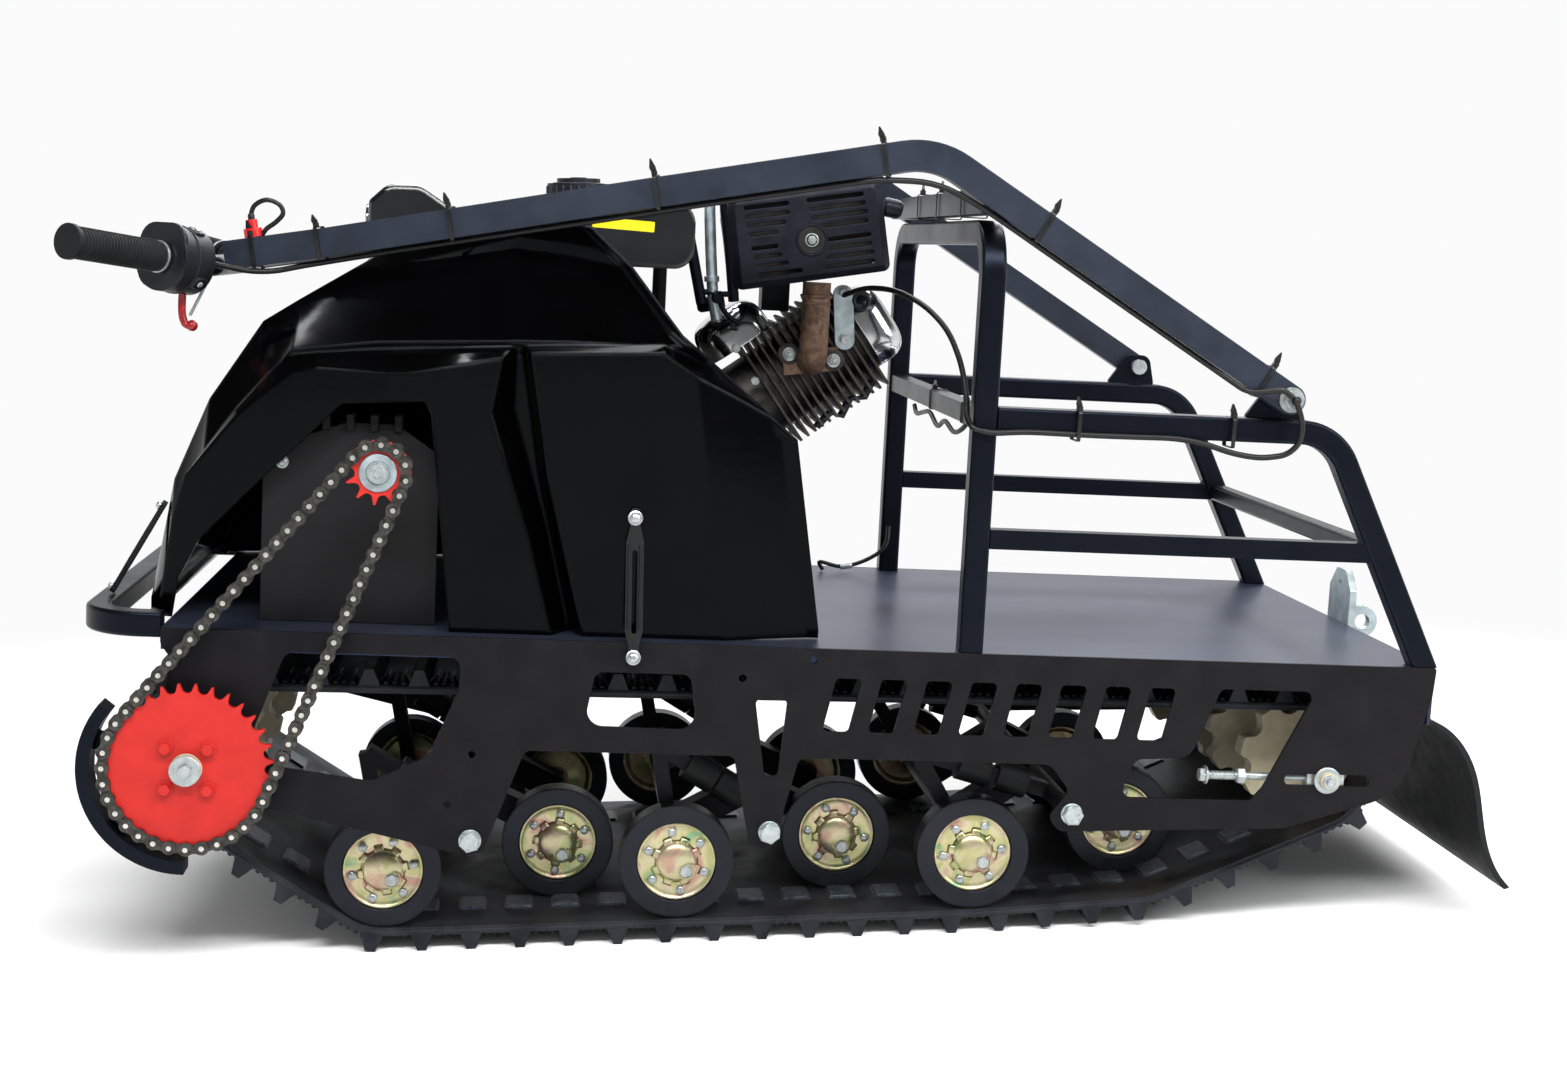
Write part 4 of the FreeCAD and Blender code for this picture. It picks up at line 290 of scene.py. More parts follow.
NODE_FINISH = {
    "satin powder coat": ("front_bumper", "front_hoop", "rack_rail_left", "rack_rail_right",
                          "rack_cross_bar", "chain_guard", "handlebar"),
    "tube powder coat": ("drawbar",),
    "deck powder coat": ("deck",),
    "plate powder coat": ("side_plate_left", "side_plate_right", "bogie_front", "bogie_middle",
                          "bogie_rear"),
    "gloss moulding": ("hood",),
    "charcoal structure paint": ("bearing_panel", "tank_brackets"),
    "stove black": ("muffler_guard",),
    "gloss tank paint": ("fuel_tank", "recoil_starter", "headlamp"),
    "moulded rubber": ("mud_flap", "grips", "hood_straps", "bump_stops"),
    "track rubber": ("track",),
    "tyre rubber": ("road_wheel_tyres",),
    "bright zinc": ("pivot_bolts", "track_tensioners", "jackshaft"),
    "yellow-passivated zinc": ("road_wheel_discs",),
    "zinc sheet": ("muffler_bracket", "tow_hitch"),
    "red powder coat": ("drive_sprocket", "engine_sprocket"),
    "oiled chain steel": ("drive_chain",),
    "cast aluminium": ("engine_block", "cylinder_fins"),
    "bright chrome": ("head_cover", "cylinder_shroud"),
    "heat-browned steel": ("exhaust_pipe",),
    "sooty steel": ("silencer",),
    "moulded black plastic": ("tank_cap", "air_cleaner", "throttle_housing"),
    "scuffed nylon": ("drive_axle", "idler_axle"),
    "moulded red plastic": ("brake_lever", "stop_switch"),
    "cable sheath": ("throttle_cable", "drawbar_cable"),
}
MATERIALS = {}


def passivated_zinc(name):
    """Chromate over zinc: gold with pink and green clouds, a metal with interference colours."""
    material = new_material(name)
    tree = material.node_tree
    place = add_node(tree, "ShaderNodeTexCoord").outputs["Object"]
    clouds = add_node(tree, "ShaderNodeTexNoise", {
        "Vector": place, "Scale": 1000 / 30, "Detail": 4.0, "Roughness": 0.5, "Distortion": 0.8})
    tint = colour_ramp(tree, clouds, (
        (0.30, "8FB58C"), (0.42, "C9C48C"), (0.52, "DCD3AE"), (0.62, "CFA292"), (0.74, "A9C09A")))
    grit = add_node(tree, "ShaderNodeTexNoise", {"Vector": place, "Scale": 1000 / 1.2, "Detail": 2.0})
    soft = add_node(tree, "ShaderNodeBevel", {"Radius": 0.5 * MM}, samples=6)
    bump = add_node(tree, "ShaderNodeBump", {"Height": grit, "Distance": 0.03 * MM, "Normal": soft})
    shader = add_node(tree, "ShaderNodeBsdfPrincipled", {
        "Base Color": tint, "Metallic": 0.9, "Roughness": cloudy_roughness(tree, clouds, 0.28, 0.42),
        "Normal": bump})
    add_node(tree, "ShaderNodeOutputMaterial", {"Surface": shader})
    return material


def finish(name):
    """The material of a finish, made once."""
    if name not in MATERIALS:
        if name in FINISHES:
            sizes, more = FINISHES[name]
            MATERIALS[name] = coated_surface(name, *sizes, **more)
        else:
            MATERIALS[name] = passivated_zinc(name)
    return MATERIALS[name]


# ---- settings


class TOWING_PG_studio(bpy.types.PropertyGroup):
    lens: FloatProperty(name="Lens", description="Focal length on a 36 mm wide sensor",
                        default=50.54, unit="CAMERA")
    eye_ahead: FloatProperty(name="Eye ahead", description="Camera ahead of the hoop's foot",
                             default=0.438, unit="LENGTH")
    eye_left: FloatProperty(name="Eye left", description="Camera to the left of the middle plane",
                            default=2.487, unit="LENGTH")
    eye_above: FloatProperty(name="Eye above", description="Camera above the deck",
                             default=0.397, unit="LENGTH")
    floor_tint: FloatVectorProperty(name="Floor", description="Colour of the floor", subtype="COLOR",
                                    size=4, default=colour("F2F2F2"))


class TOWING_PG_running_gear(bpy.types.PropertyGroup):
    bolt_circle: FloatProperty(name="Bolt circle", description="Radius to the wheel's small bolts",
                               default=0.0315, unit="LENGTH")
    bolt_count: IntProperty(name="Bolts", description="Small bolts on each wheel", default=6, min=3)
    lobes: IntProperty(name="Cap lobes", description="Notches round the domed cap", default=8, min=3)
    lug_count: IntProperty(name="Lugs", description="Lugs round the track", default=56, min=8)
    rib_count: IntProperty(name="Ribs", description="Fan ribs at each end of a lug", default=5, min=1)


class TOWING_PG_chain(bpy.types.PropertyGroup):
    pitch: FloatProperty(name="Pitch", description="From pin to pin", default=0.015875, unit="LENGTH",
                         precision=6)
    pins: IntProperty(name="Pins", description="Pins round the whole chain", default=66, min=8)
    pin_diameter: FloatProperty(name="Pin", description="Diameter of a pin's riveted end",
                                default=0.0052, unit="LENGTH")


# ---- mesh helpers


def linked(name, data):
    """New object in the scene."""
    item = bpy.data.objects.new(name, data)
    bpy.context.scene.collection.objects.link(item)
    return item


def carried(name, mesh, body):
    """New object of a mesh that has its material, on its body."""
    item = linked(name, mesh)
    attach(item, body)
    return item


def piece(name, shape, surface, body="chassis", sharp=32):
    """Mesh object from a bmesh: faces outwards, smooth but for edges over the sharp angle."""
    bmesh.ops.remove_doubles(shape, verts=shape.verts, dist=2e-6)
    bmesh.ops.recalc_face_normals(shape, faces=shape.faces)
    for face in shape.faces:
        face.smooth = True
    limit = radians(sharp)
    for edge in shape.edges:
        edge.smooth = edge.is_manifold and edge.calc_face_angle() < limit
    mesh = bpy.data.meshes.new(name)
    shape.to_mesh(mesh)
    shape.free()
    mesh.materials.append(finish(surface))
    return carried(name, mesh, body)


def skin(shape, rings, closed=False):
    """Faces between neighbouring rings of corners, and over both ends where the rings don't close.

    A ring of one corner is a tip.
    """
    for low, high in zip(rings, rings[1:] + rings[:1] if closed else rings[1:]):
        for i in range(max(len(low), len(high))):
            around = ((low, i), (low, i + 1), (high, i + 1), (high, i))
            corners = list(dict.fromkeys(ring[k % len(ring)] for ring, k in around))
            if len(corners) > 2:
                shape.faces.new(corners)
    if not closed:
        for ring in (rings[0], rings[-1]):
            if len(ring) > 1:
                shape.faces.new(ring)


def lathe(shape, profile, place, steps=32, lobes=0):
    """Turns a profile of (radius, height) in mm about the +Z of a matrix; ends at radius 0 close.

    A third number in a profile's row makes square lobes that stand out that far.
    """
    rings = []
    for radius, height, *lobe in profile:
        if radius < 1e-6:
            rings.append([shape.verts.new(place @ Vector((0, 0, height * MM)))])
            continue
        ring = []
        for i in range(steps):
            angle = tau * i / steps
            reach = radius
            if lobe:
                reach += lobe[0] * min(1.0, max(0.0, 0.5 + 2.4 * cos(lobes * angle)))
            ring.append(shape.verts.new(
                place @ (Vector((reach * cos(angle), reach * sin(angle), height)) * MM)))
        rings.append(ring)
    skin(shape, rings)


def pillow(shape, place, half, power=3.4, floor=-1.0, across=28, around=56):
    """Swollen box of half sizes in mm about a matrix, cut off level below a share of its height."""
    def bulge(value):
        return copysign(abs(value) ** (2 / power), value)
    rings = [[shape.verts.new(place @ Vector((0, 0, half[2] * MM)))]]
    for i in range(1, across):
        width = bulge(sin(pi * i / across))
        height = max(floor, bulge(cos(pi * i / across)))
        rings.append([shape.verts.new(place @ (Vector((
            half[0] * width * bulge(cos(tau * k / around)),
            half[1] * width * bulge(sin(tau * k / around)), half[2] * height)) * MM))
            for k in range(around)])
        if height == floor:
            break
    skin(shape, rings)


def prism(shape, outline, low, high, place, bevel=0.0):
    """Straight block from an outline in mm between two heights, its high edge drawn in by bevel."""
    middle = Vector((sum(p[0] for p in outline), sum(p[1] for p in outline))) / len(outline)
    levels = [(0.0, low), (0.0, high - bevel), (bevel, high)] if bevel else [(0.0, low), (0.0, high)]
    rings = []
    for inset, height in levels:
        ring = []
        for x, y in outline:
            out = Vector((x, y)) - middle
            out *= max(0.0, 1 - inset / max(out.length, 1e-6))
            ring.append(shape.verts.new(place @ (Vector((*(middle + out), height)) * MM)))
        rings.append(ring)
    skin(shape, rings)


def regular(sides, radius, turn=0.0):
    """Corners of a regular outline."""
    angles = [turn + tau * i / sides for i in range(sides)]
    return [(radius * cos(angle), radius * sin(angle)) for angle in angles]


def rounded(width, height, radius, steps=4, middle=(0.0, 0.0)):
    """Corners of a rectangle with rounded corners."""
    out = []
    for sx, sy, start in ((1, 1, 0), (-1, 1, 90), (-1, -1, 180), (1, -1, 270)):
        for i in range(steps + 1):
            angle = radians(start + 90 * i / steps)
            out.append((middle[0] + sx * (width / 2 - radius) + radius * cos(angle),
                        middle[1] + sy * (height / 2 - radius) + radius * sin(angle)))
    return out


def tube(shape, points, radius, steps=10, closed=False, flat=1.0):
    """Round bar of a radius in mm through world points; flat squashes it across its own plane."""
    count = len(points)
    rings = []
    side = None
    for i, here in enumerate(points):
        ahead = (points[(i + 1) % count] if closed or i + 1 < count else here)
        behind = (points[i - 1] if closed or i else here)
        along = (ahead - behind).normalized()
        if side is None:
            side = along.orthogonal().normalized()
        side = (side - along * side.dot(along)).normalized()
        over = along.cross(side)
        rings.append([shape.verts.new(here + (side * a + over * b * flat) * MM)
                      for a, b in regular(steps, radius)])
    skin(shape, rings, closed)


def smooth_line(points, steps=6):
    """Points of a smooth curve through deck places in mm."""
    spots = [Vector(p) for p in points]
    spots = [spots[0] * 2 - spots[1]] + spots + [spots[-1] * 2 - spots[-2]]
    out = []
    for a, b, c, d in zip(spots, spots[1:], spots[2:], spots[3:]):
        for i in range(steps):
            t = i / steps
            out.append(0.5 * ((2 * b) + (c - a) * t + (2 * a - 5 * b + 4 * c - d) * t * t
                              + (3 * b - a - 3 * c + d) * t ** 3))
    out.append(spots[-2])
    return [spot(*p) for p in out]


def hex_bolt(shape, place, flats, height, washer=0.0, washer_height=1.6, stud=0.0):
    """Hexagon head with its chamfer on a round washer; a stud end stands out of a nut."""
    start = washer_height if washer else 0.0
    if washer:
        lathe(shape, [(washer - 0.4, 0), (washer, 0.3), (washer, start - 0.4), (washer - 0.5, start),
                      (flats * 0.48, start)], place, 28)
    top = start + height
    prism(shape, regular(6, flats / 2 / cos(pi / 6)), start - 0.2, top - flats * 0.07, place)
    lathe(shape, [(flats * 0.505, top - flats * 0.08), (flats * 0.46, top), (0, top)], place, 24)
    if stud:
        lathe(shape, [(flats * 0.29, top - 0.5), (flats * 0.29, top + stud - 0.8), (flats * 0.24, top + stud),
                      (0, top + stud)], place, 18)


def dome(shape, place, radius, height, steps=20):
    """Round-headed bolt or rivet."""
    profile = [(radius, 0)]
    for i in range(1, 6):
        angle = pi / 2 * i / 6
        profile.append((radius * cos(angle), height * (0.25 + 0.75 * sin(angle))))
    profile.append((0, height))
    lathe(shape, profile, place, steps)


# ---- Geometry Nodes


def group_with(name, sizes):
    """New geometry node group with a geometry in and out, named sizes in metres and a finish."""
    tree = bpy.data.node_groups.new(name, "GeometryNodeTree")
    for way in ("INPUT", "OUTPUT"):
        tree.interface.new_socket("Geometry", in_out=way, socket_type="NodeSocketGeometry")
    for label, value in sizes.items():
        socket = tree.interface.new_socket(label, in_out="INPUT", socket_type="NodeSocketFloat")
        socket.default_value = value
    tree.interface.new_socket("Finish", in_out="INPUT", socket_type="NodeSocketMaterial")
    return tree, add_node(tree, "NodeGroupInput")


def spread(name, places, tree, values, surface, body="chassis"):
    """Puts a node group's shape at each matrix and bakes the result to one plain mesh.

    The group reads a mesh of single points with a rotation kept as three angles on each point.
    """
    mesh = bpy.data.meshes.new(name)
    mesh.from_pydata([m.translation for m in places], [], [])
    angles = mesh.attributes.new("turn", "FLOAT_VECTOR", "POINT")
    angles.data.foreach_set("vector", [a for m in places for a in m.to_euler("XYZ")])
    holder = linked(name + "_points", mesh)
    modifier = holder.modifiers.new("spread", "NODES")
    modifier.node_group = tree
    sockets = {s.name: s.identifier for s in tree.interface.items_tree if s.in_out == "INPUT"}
    for label, value in values.items():
        modifier[sockets[label]] = value
    modifier[sockets["Finish"]] = finish(surface)
    bpy.context.view_layer.update()
    baked = bpy.data.meshes.new_from_object(holder.evaluated_get(bpy.context.evaluated_depsgraph_get()))
    baked.name = name
    holder.modifiers.clear()
    bpy.data.objects.remove(holder)
    return carried(name, baked, body)


def instanced(tree, start, shapes):
    """Ends a group: its shapes on every point at that point's turn, made real, with the finish."""
    both = add_node(tree, "GeometryNodeJoinGeometry", {"Geometry": shapes})
    turn = add_node(tree, "GeometryNodeInputNamedAttribute", {"Name": "turn"}, data_type="FLOAT_VECTOR")
    rotation = add_node(tree, "FunctionNodeEulerToRotation", {"Euler": turn})
    points = add_node(tree, "GeometryNodeMeshToPoints", {"Mesh": start})
    placed = add_node(tree, "GeometryNodeInstanceOnPoints", {
        "Points": points, "Instance": both, "Rotation": rotation})
    real = add_node(tree, "GeometryNodeRealizeInstances", {"Geometry": placed})
    dressed = add_node(tree, "GeometryNodeSetMaterial", {
        "Geometry": real, "Material": start.outputs["Finish"]})
    add_node(tree, "NodeGroupOutput", {"Geometry": dressed})
    return tree


# ---- stage

# How the camera is turned from a level side view, in degrees.
YAW_PITCH_ROLL = (6.22, 7.43, -2.94)


class TOWING_OT_stage(bpy.types.Operator):
    """Camera, pale floor, soft lights and the light surroundings"""
    bl_idname = "towing.stage"
    bl_label = "Stage"

    def execute(self, context):
        studio = context.scene.towing_studio
        self.camera(context.scene, studio)
        self.floor(studio)
        self.surroundings(context.scene)
        self.lights()
        context.scene.view_settings.view_transform = "Standard"
        return {"FINISHED"}

    def camera(self, scene, studio):
        """Camera turned by yaw, pitch and roll about the deck's own axes, seen from the left."""
        yaw, pitch, roll = (radians(v) for v in YAW_PITCH_ROLL)
        turn = (Matrix.Rotation(roll, 3, "Z") @ Matrix.Rotation(pitch, 3, "X")
                @ Matrix.Rotation(yaw, 3, "Y"))
        side_view = Matrix(((-1, 0, 0), (0, 0, 1), (0, 1, 0)))
        rows = turn @ side_view @ DECK.to_3x3().transposed()
        data = bpy.data.cameras.new("camera")
        data.lens, data.sensor_width = studio.lens, 36
        eye = linked("camera", data)
        eye.matrix_world = axes(*rows, DECK @ Vector((studio.eye_ahead, studio.eye_left, studio.eye_above)))
        scene.camera = eye

    def floor(self, studio):
        """Matt floor that fades to plain white light farther off, in view and in reflections."""
        mesh = bpy.data.meshes.new("floor")
        shape = bmesh.new()
        bmesh.ops.create_circle(shape, cap_ends=True, segments=96, radius=14)
        shape.to_mesh(mesh)
        shape.free()
        floor = linked("floor", mesh)
        material = new_material("matt studio floor")
        tree = material.node_tree
        place = add_node(tree, "ShaderNodeTexCoord").outputs["Object"]
        away = add_node(tree, "ShaderNodeVectorMath", {"Vector": place}, operation="LENGTH")
        fade = add_node(tree, "ShaderNodeMapRange", {
            "Value": away.outputs["Value"], "From Min": 0.8, "From Max": 2.2},
            interpolation_type="SMOOTHSTEP")
        path = add_node(tree, "ShaderNodeLightPath")
        seen = add_node(tree, "ShaderNodeMath", {
            0: path.outputs["Is Camera Ray"], 1: path.outputs["Is Glossy Ray"]}, operation="MAXIMUM")
        share = add_node(tree, "ShaderNodeMath", {0: fade, 1: seen}, operation="MULTIPLY")
        matt = add_node(tree, "ShaderNodeBsdfDiffuse", {"Color": studio.floor_tint, "Roughness": 0.6})
        glow = add_node(tree, "ShaderNodeEmission", {"Color": colour("FBFBFB"), "Strength": 1.0})
        mix = add_node(tree, "ShaderNodeMixShader", {"Fac": share, 1: matt, 2: glow})
        add_node(tree, "ShaderNodeOutputMaterial", {"Surface": mix})
        mesh.materials.append(material)

    def surroundings(self, scene):
        """White near the horizon, dim overhead and beyond the shown side, as a studio with dark flags."""
        world = bpy.data.worlds.new("studio")
        scene.world = world
        world.use_nodes = True
        tree = world.node_tree
        tree.nodes.clear()
        place = add_node(tree, "ShaderNodeTexCoord").outputs["Generated"]
        way = add_node(tree, "ShaderNodeSeparateXYZ", {"Vector": place})
        dimmed = [add_node(tree, "ShaderNodeMapRange", {
            "Value": way.outputs[axis], "From Min": start, "From Max": end, "To Min": bright, "To Max": dark},
            interpolation_type="SMOOTHSTEP")
            for axis, start, end, bright, dark in (
                ("Z", 0.22, 0.42, 0.9, 0.05), ("Y", 0.25, 0.75, 1.0, 0.22))]
        band = add_node(tree, "ShaderNodeMath", dict(enumerate(dimmed)), operation="MULTIPLY")
        path = add_node(tree, "ShaderNodeLightPath")
        shine = add_node(tree, "ShaderNodeMath", {
            0: path.outputs["Is Glossy Ray"], 1: path.outputs["Is Transmission Ray"]}, operation="MAXIMUM")
        mirrored = add_node(tree, "ShaderNodeMix", {0: shine, 2: 0.5, 3: band}, data_type="FLOAT")
        level = add_node(tree, "ShaderNodeMix", {
            0: path.outputs["Is Camera Ray"], 2: mirrored, 3: 1.0}, data_type="FLOAT")
        light = add_node(tree, "ShaderNodeBackground", {"Color": colour("FBFBFB"), "Strength": level})
        add_node(tree, "ShaderNodeOutputWorld", {"Surface": light})

    def lights(self):
        """Long soft boxes, as over a workshop bench, so that creases carry thin streaks of light."""
        for name, place, target, long, wide, power in (
                ("key", (300, 2150, 2050), (300, 0, 100), 3.0, 0.42, 92),
                ("fill", (-1900, 1500, 1500), (0, 0, 100), 1.4, 1.4, 42),
                ("back", (-300, -2200, 1900), (100, 0, 200), 2.6, 1.0, 62),
                ("top", (200, -650, 2450), (200, 0, 0), 2.8, 0.5, 55)):
            data = bpy.data.lights.new(name, "AREA")
            data.shape, data.size, data.size_y, data.energy = "RECTANGLE", long, wide, power
            here = spot(*place)
            aim = (here - spot(*target)).to_track_quat("Z", "Y").to_matrix()
            linked(name, data).matrix_world = Matrix.Translation(here) @ aim.to_4x4()


# ---- finishes of the carried-over nodes


class TOWING_OT_finishes(bpy.types.Operator):
    """Gives every carried-over node the material of its real finish"""
    bl_idname = "towing.finishes"
    bl_label = "Finishes"

    def execute(self, context):
        wanted = {node: name for name, nodes in NODE_FINISH.items() for node in nodes}
        for node, item in frame["nodes"].items():
            item.data.materials.clear()
            item.data.materials.append(finish(wanted[node]))
        return {"FINISHED"}


# ---- road wheels

# Wheels' centres (ahead, up) by bogie, their outer faces, their axle bolts' leans and the bogies' pivots.
WHEELS = (((593, -258.08), (413, -248.64)), ((289, -242.15), (109, -232.71)),
          ((-26, -225.64), (-206, -208.2)))
OUTER_FACES = (245, 156)
AXLE_LEAN = (-38, -64)
BOGIE_PIVOTS = ((503, -208.4), (199, -192.4), (-116, -165.9))


class TOWING_OT_wheels(bpy.types.Operator):
    """Dished discs with lobed caps, small bolts and eccentric axle bolts of the road wheels"""
    bl_idname = "towing.wheels"
    bl_label = "Road wheels"

    def execute(self, context):
        gear = context.scene.towing_running_gear
        discs, bolts, axles = bmesh.new(), bmesh.new(), bmesh.new()
        # Each wheel has stopped at a turn of its own.
        count = 0
        for pair in WHEELS:
            for (x, z), outer, lean in zip(pair, OUTER_FACES, AXLE_LEAN):
                for side in (1, -1):
                    still = facing(x, side * (outer - 3), z, (0, side, 0))
                    place = still @ turned(radians(37 * count + 12))
                    self.disc(discs, place, gear)
                    self.small_bolts(bolts, place, gear)
                    self.axle(axles, discs, still @ turned(radians(lean)))
                    count += 1
        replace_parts(piece("wheel_discs", discs, "yellow-passivated zinc", sharp=40),
                    "road_wheel_discs")
        piece("wheel_bolts", bolts, "bright zinc")
        piece("wheel_axle_bolts", axles, "bright zinc")
        return {"FINISHED"}

    def disc(self, shape, place, gear):
        """Pressed disc with a rolled rim, and a domed cap set in it with a gap round its square lobes."""
        steps = gear.lobes * 14
        rim = [(0, -20), (13, -20), (13, -14), (16, -12.4), (34, -12), (38.6, -16), (41.7, -16),
               (41.7, -1.0), (40.9, 0.3), (39.2, 0.5), (36.8, -1.2), (33, -1.6), (29.6, -1.6)]
        cap = [(23.0, -1.6, 4.6), (23.0, -6.5, 4.6), (21.6, -6.5, 4.2), (21.6, 0.9, 4.2), (21.0, 1.6, 3.9),
               (20.8, 2.4), (19.6, 4.2), (17.0, 5.9), (13.0, 7.3), (8.6, 8.1), (4.2, 8.5), (0, 8.6)]
        lathe(shape, rim + cap, place, steps, gear.lobes)

    def small_bolts(self, shape, place, gear):
        """Hexagons with domed tops, evenly round the disc."""
        for i, (x, y) in enumerate(regular(gear.bolt_count, gear.bolt_circle / MM)):
            at = moved(place, x, y, -1.6)
            prism(shape, regular(6, 4.9, i), 0, 2.6, at, 0.5)
            dome(shape, moved(at, 0, 0, 2.2), 4.5, 2.6, 18)

    def axle(self, shape, boss, at):
        """Hexagon head on the pressed boss that stands off the cap's middle."""
        at = moved(at, 12.5, 0, 0)
        lathe(boss, [(10.6, 1.0), (10.6, 5.2), (9.8, 7.4), (8.2, 8.0), (7.6, 7.0), (0, 7.0)], at, 36)
        hex_bolt(shape, moved(at, 0, 0, 7), 12, 5.4)


# ---- bolts on the plates

# How far out the side plates' faces and the adjusters lie, and the idler axle's (ahead, up) place.
PLATE_FACE = 300.2
IDLER_AXLE = (-387, -123)
ADJUSTER_LEFT = 288.7


class TOWING_OT_plate_bolts(bpy.types.Operator):
    """Washers, hexagons and screws of the bogie pivots and the idler's adjusters"""
    bl_idname = "towing.plate_bolts"
    bl_label = "Plate bolts"

    def execute(self, context):
        heads, seats = bmesh.new(), bmesh.new()
        for side in (1, -1):
            for i, (x, z) in enumerate(BOGIE_PIVOTS):
                place = facing(x, side * PLATE_FACE, z, (0, side, 0), 0.3 + 0.4 * i)
                lathe(seats, [(11.4, 0), (11.4, 1.2), (10.4, 1.8), (8.5, 1.8)], place, 36)
                hex_bolt(heads, moved(place, 0, 0, 1.6), 19, 8.5)
            place = facing(IDLER_AXLE[0], side * PLATE_FACE, IDLER_AXLE[1], (0, side, 0), 0.2)
            lathe(seats, [(14.0, 0), (14.0, 2.0), (13.2, 2.6), (9, 2.6)], place, 36)
            hex_bolt(heads, moved(place, 0, 0, 2.4), 15, 8.5, stud=4)
            self.adjuster(heads, side)
        piece("pivot_seats", seats, "zinc sheet")
        piece("pivot_hexagons", heads, "bright zinc")
        return {"FINISHED"}

    def adjuster(self, shape, side):
        """Flanged head, thread and lock nut of the screw that sets the idler axle."""
        left, height = side * ADJUSTER_LEFT, IDLER_AXLE[1]
        hex_bolt(shape, facing(-260, left, height, (1, 0, 0), 0.2), 13, 6, 9.6, 2.4)
        thread = [(0, 0)]
        for i in range(12):
            thread += [(4.1, i * 2.5), (4.9, i * 2.5 + 1.1)]
        lathe(shape, thread + [(4.1, 30), (0, 30)], facing(-290, left, height, (1, 0, 0)), 16)
        hex_bolt(shape, facing(-300, left, height, (1, 0, 0), 0.1), 15, 8)


# ---- chain and sprockets

# Circles (ahead, up, radius) that the chain's pins and the track's inside run round.
CHAIN_CIRCLES = ((781, -136, 80.85), (602.73, 164.24, 27.79))
CHAIN_PLANE = 320
TRACK_CIRCLES = ((781, -136, 64), (*IDLER_AXLE, 64), (-206, -208.2, 60.3), (-26, -225.64, 60.3),
                 (593, -258.08, 60.3))


def belt_runs(circles):
    """Outward directions of the straight runs of a belt led round circles of (x, z, radius)."""
    runs = []
    for (x1, z1, r1), (x2, z2, r2) in zip(circles, circles[1:] + circles[:1]):
        span = hypot(x2 - x1, z2 - z1)
        ahead = ((x2 - x1) / span, (z2 - z1) / span)
        along = (r1 - r2) / span
        across = sqrt(1 - along * along)
        runs.append((along * ahead[0] + across * ahead[1], along * ahead[1] - across * ahead[0]))
    return runs


def belt_path(circles, offset=0.0):
    """Arcs and runs of the belt, a distance outside its circles."""
    runs = belt_runs(circles)
    path = []
    for i, (x, z, r) in enumerate(circles):
        radius = r + offset
        start = atan2(runs[i - 1][1], runs[i - 1][0])
        turn = (atan2(runs[i][1], runs[i][0]) - start) % tau
        path.append(("arc", (x, z), radius, start, turn))
        after = circles[(i + 1) % len(circles)]
        leave = (x + radius * runs[i][0], z + radius * runs[i][1])
        reach = after[2] + offset
        arrive = (after[0] + reach * runs[i][0], after[1] + reach * runs[i][1])
        path.append(("line", leave, arrive, runs[i]))
    return path


def part_length(part):
    """Length in mm of one arc or run."""
    return part[2] * part[4] if part[0] == "arc" else dist(part[1], part[2])


def belt_length(path):
    """Length of a belt's path in mm."""
    return sum(part_length(part) for part in path)


def point_on(path, distance):
    """Place and outward direction at a distance along a belt's path."""
    for part in path:
        length = part_length(part)
        if distance <= length + 1e-9:
            if part[0] == "arc":
                _, (x, z), radius, start, _ = part
                angle = start + distance / radius
                out = (cos(angle), sin(angle))
                return (x + radius * out[0], z + radius * out[1]), out
            _, (x1, z1), (x2, z2), out = part
            share = distance / length
            return (x1 + share * (x2 - x1), z1 + share * (z2 - z1)), out
        distance -= length
    return point_on(path, distance)


class TOWING_OT_chain(bpy.types.Operator):
    """Riveted pin ends of every link, by a node group"""
    bl_idname = "towing.chain"
    bl_label = "Chain pins"

    def execute(self, context):
        chain = context.scene.towing_chain
        path = belt_path(CHAIN_CIRCLES)
        places = []
        for i in range(chain.pins):
            (x, z), _ = point_on(path, i * chain.pitch / MM)
            places.append(facing(x, CHAIN_PLANE, z))
        spread("chain_pins", places, self.pin_group(), {
            "Pin diameter": chain.pin_diameter, "Width over pins": self.width()},
            "ground steel")
        return {"FINISHED"}

    def width(self):
        """Width of the chain over its pins: its box across the plane and a rivet's stand-off."""
        low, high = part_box("drive_chain")
        return (high[1] - low[1]) + 0.0012

    def pin_group(self):
        """A pin with a slimmer end on either side, along its point's +Z."""
        tree, start = group_with("chain pin", {"Pin diameter": 0.005, "Width over pins": 0.016})
        radius, slim = (add_node(tree, "ShaderNodeMath", {
            0: start.outputs["Pin diameter"], 1: share}, operation="MULTIPLY") for share in (0.5, 0.4))
        long = start.outputs["Width over pins"]
        longer = add_node(tree, "ShaderNodeMath", {0: long, 1: 0.0007}, operation="ADD")
        return instanced(tree, start, [
            add_node(tree, "GeometryNodeMeshCylinder", {"Vertices": 18, "Radius": reach, "Depth": depth})
            for reach, depth in ((radius, long), (slim, longer))])


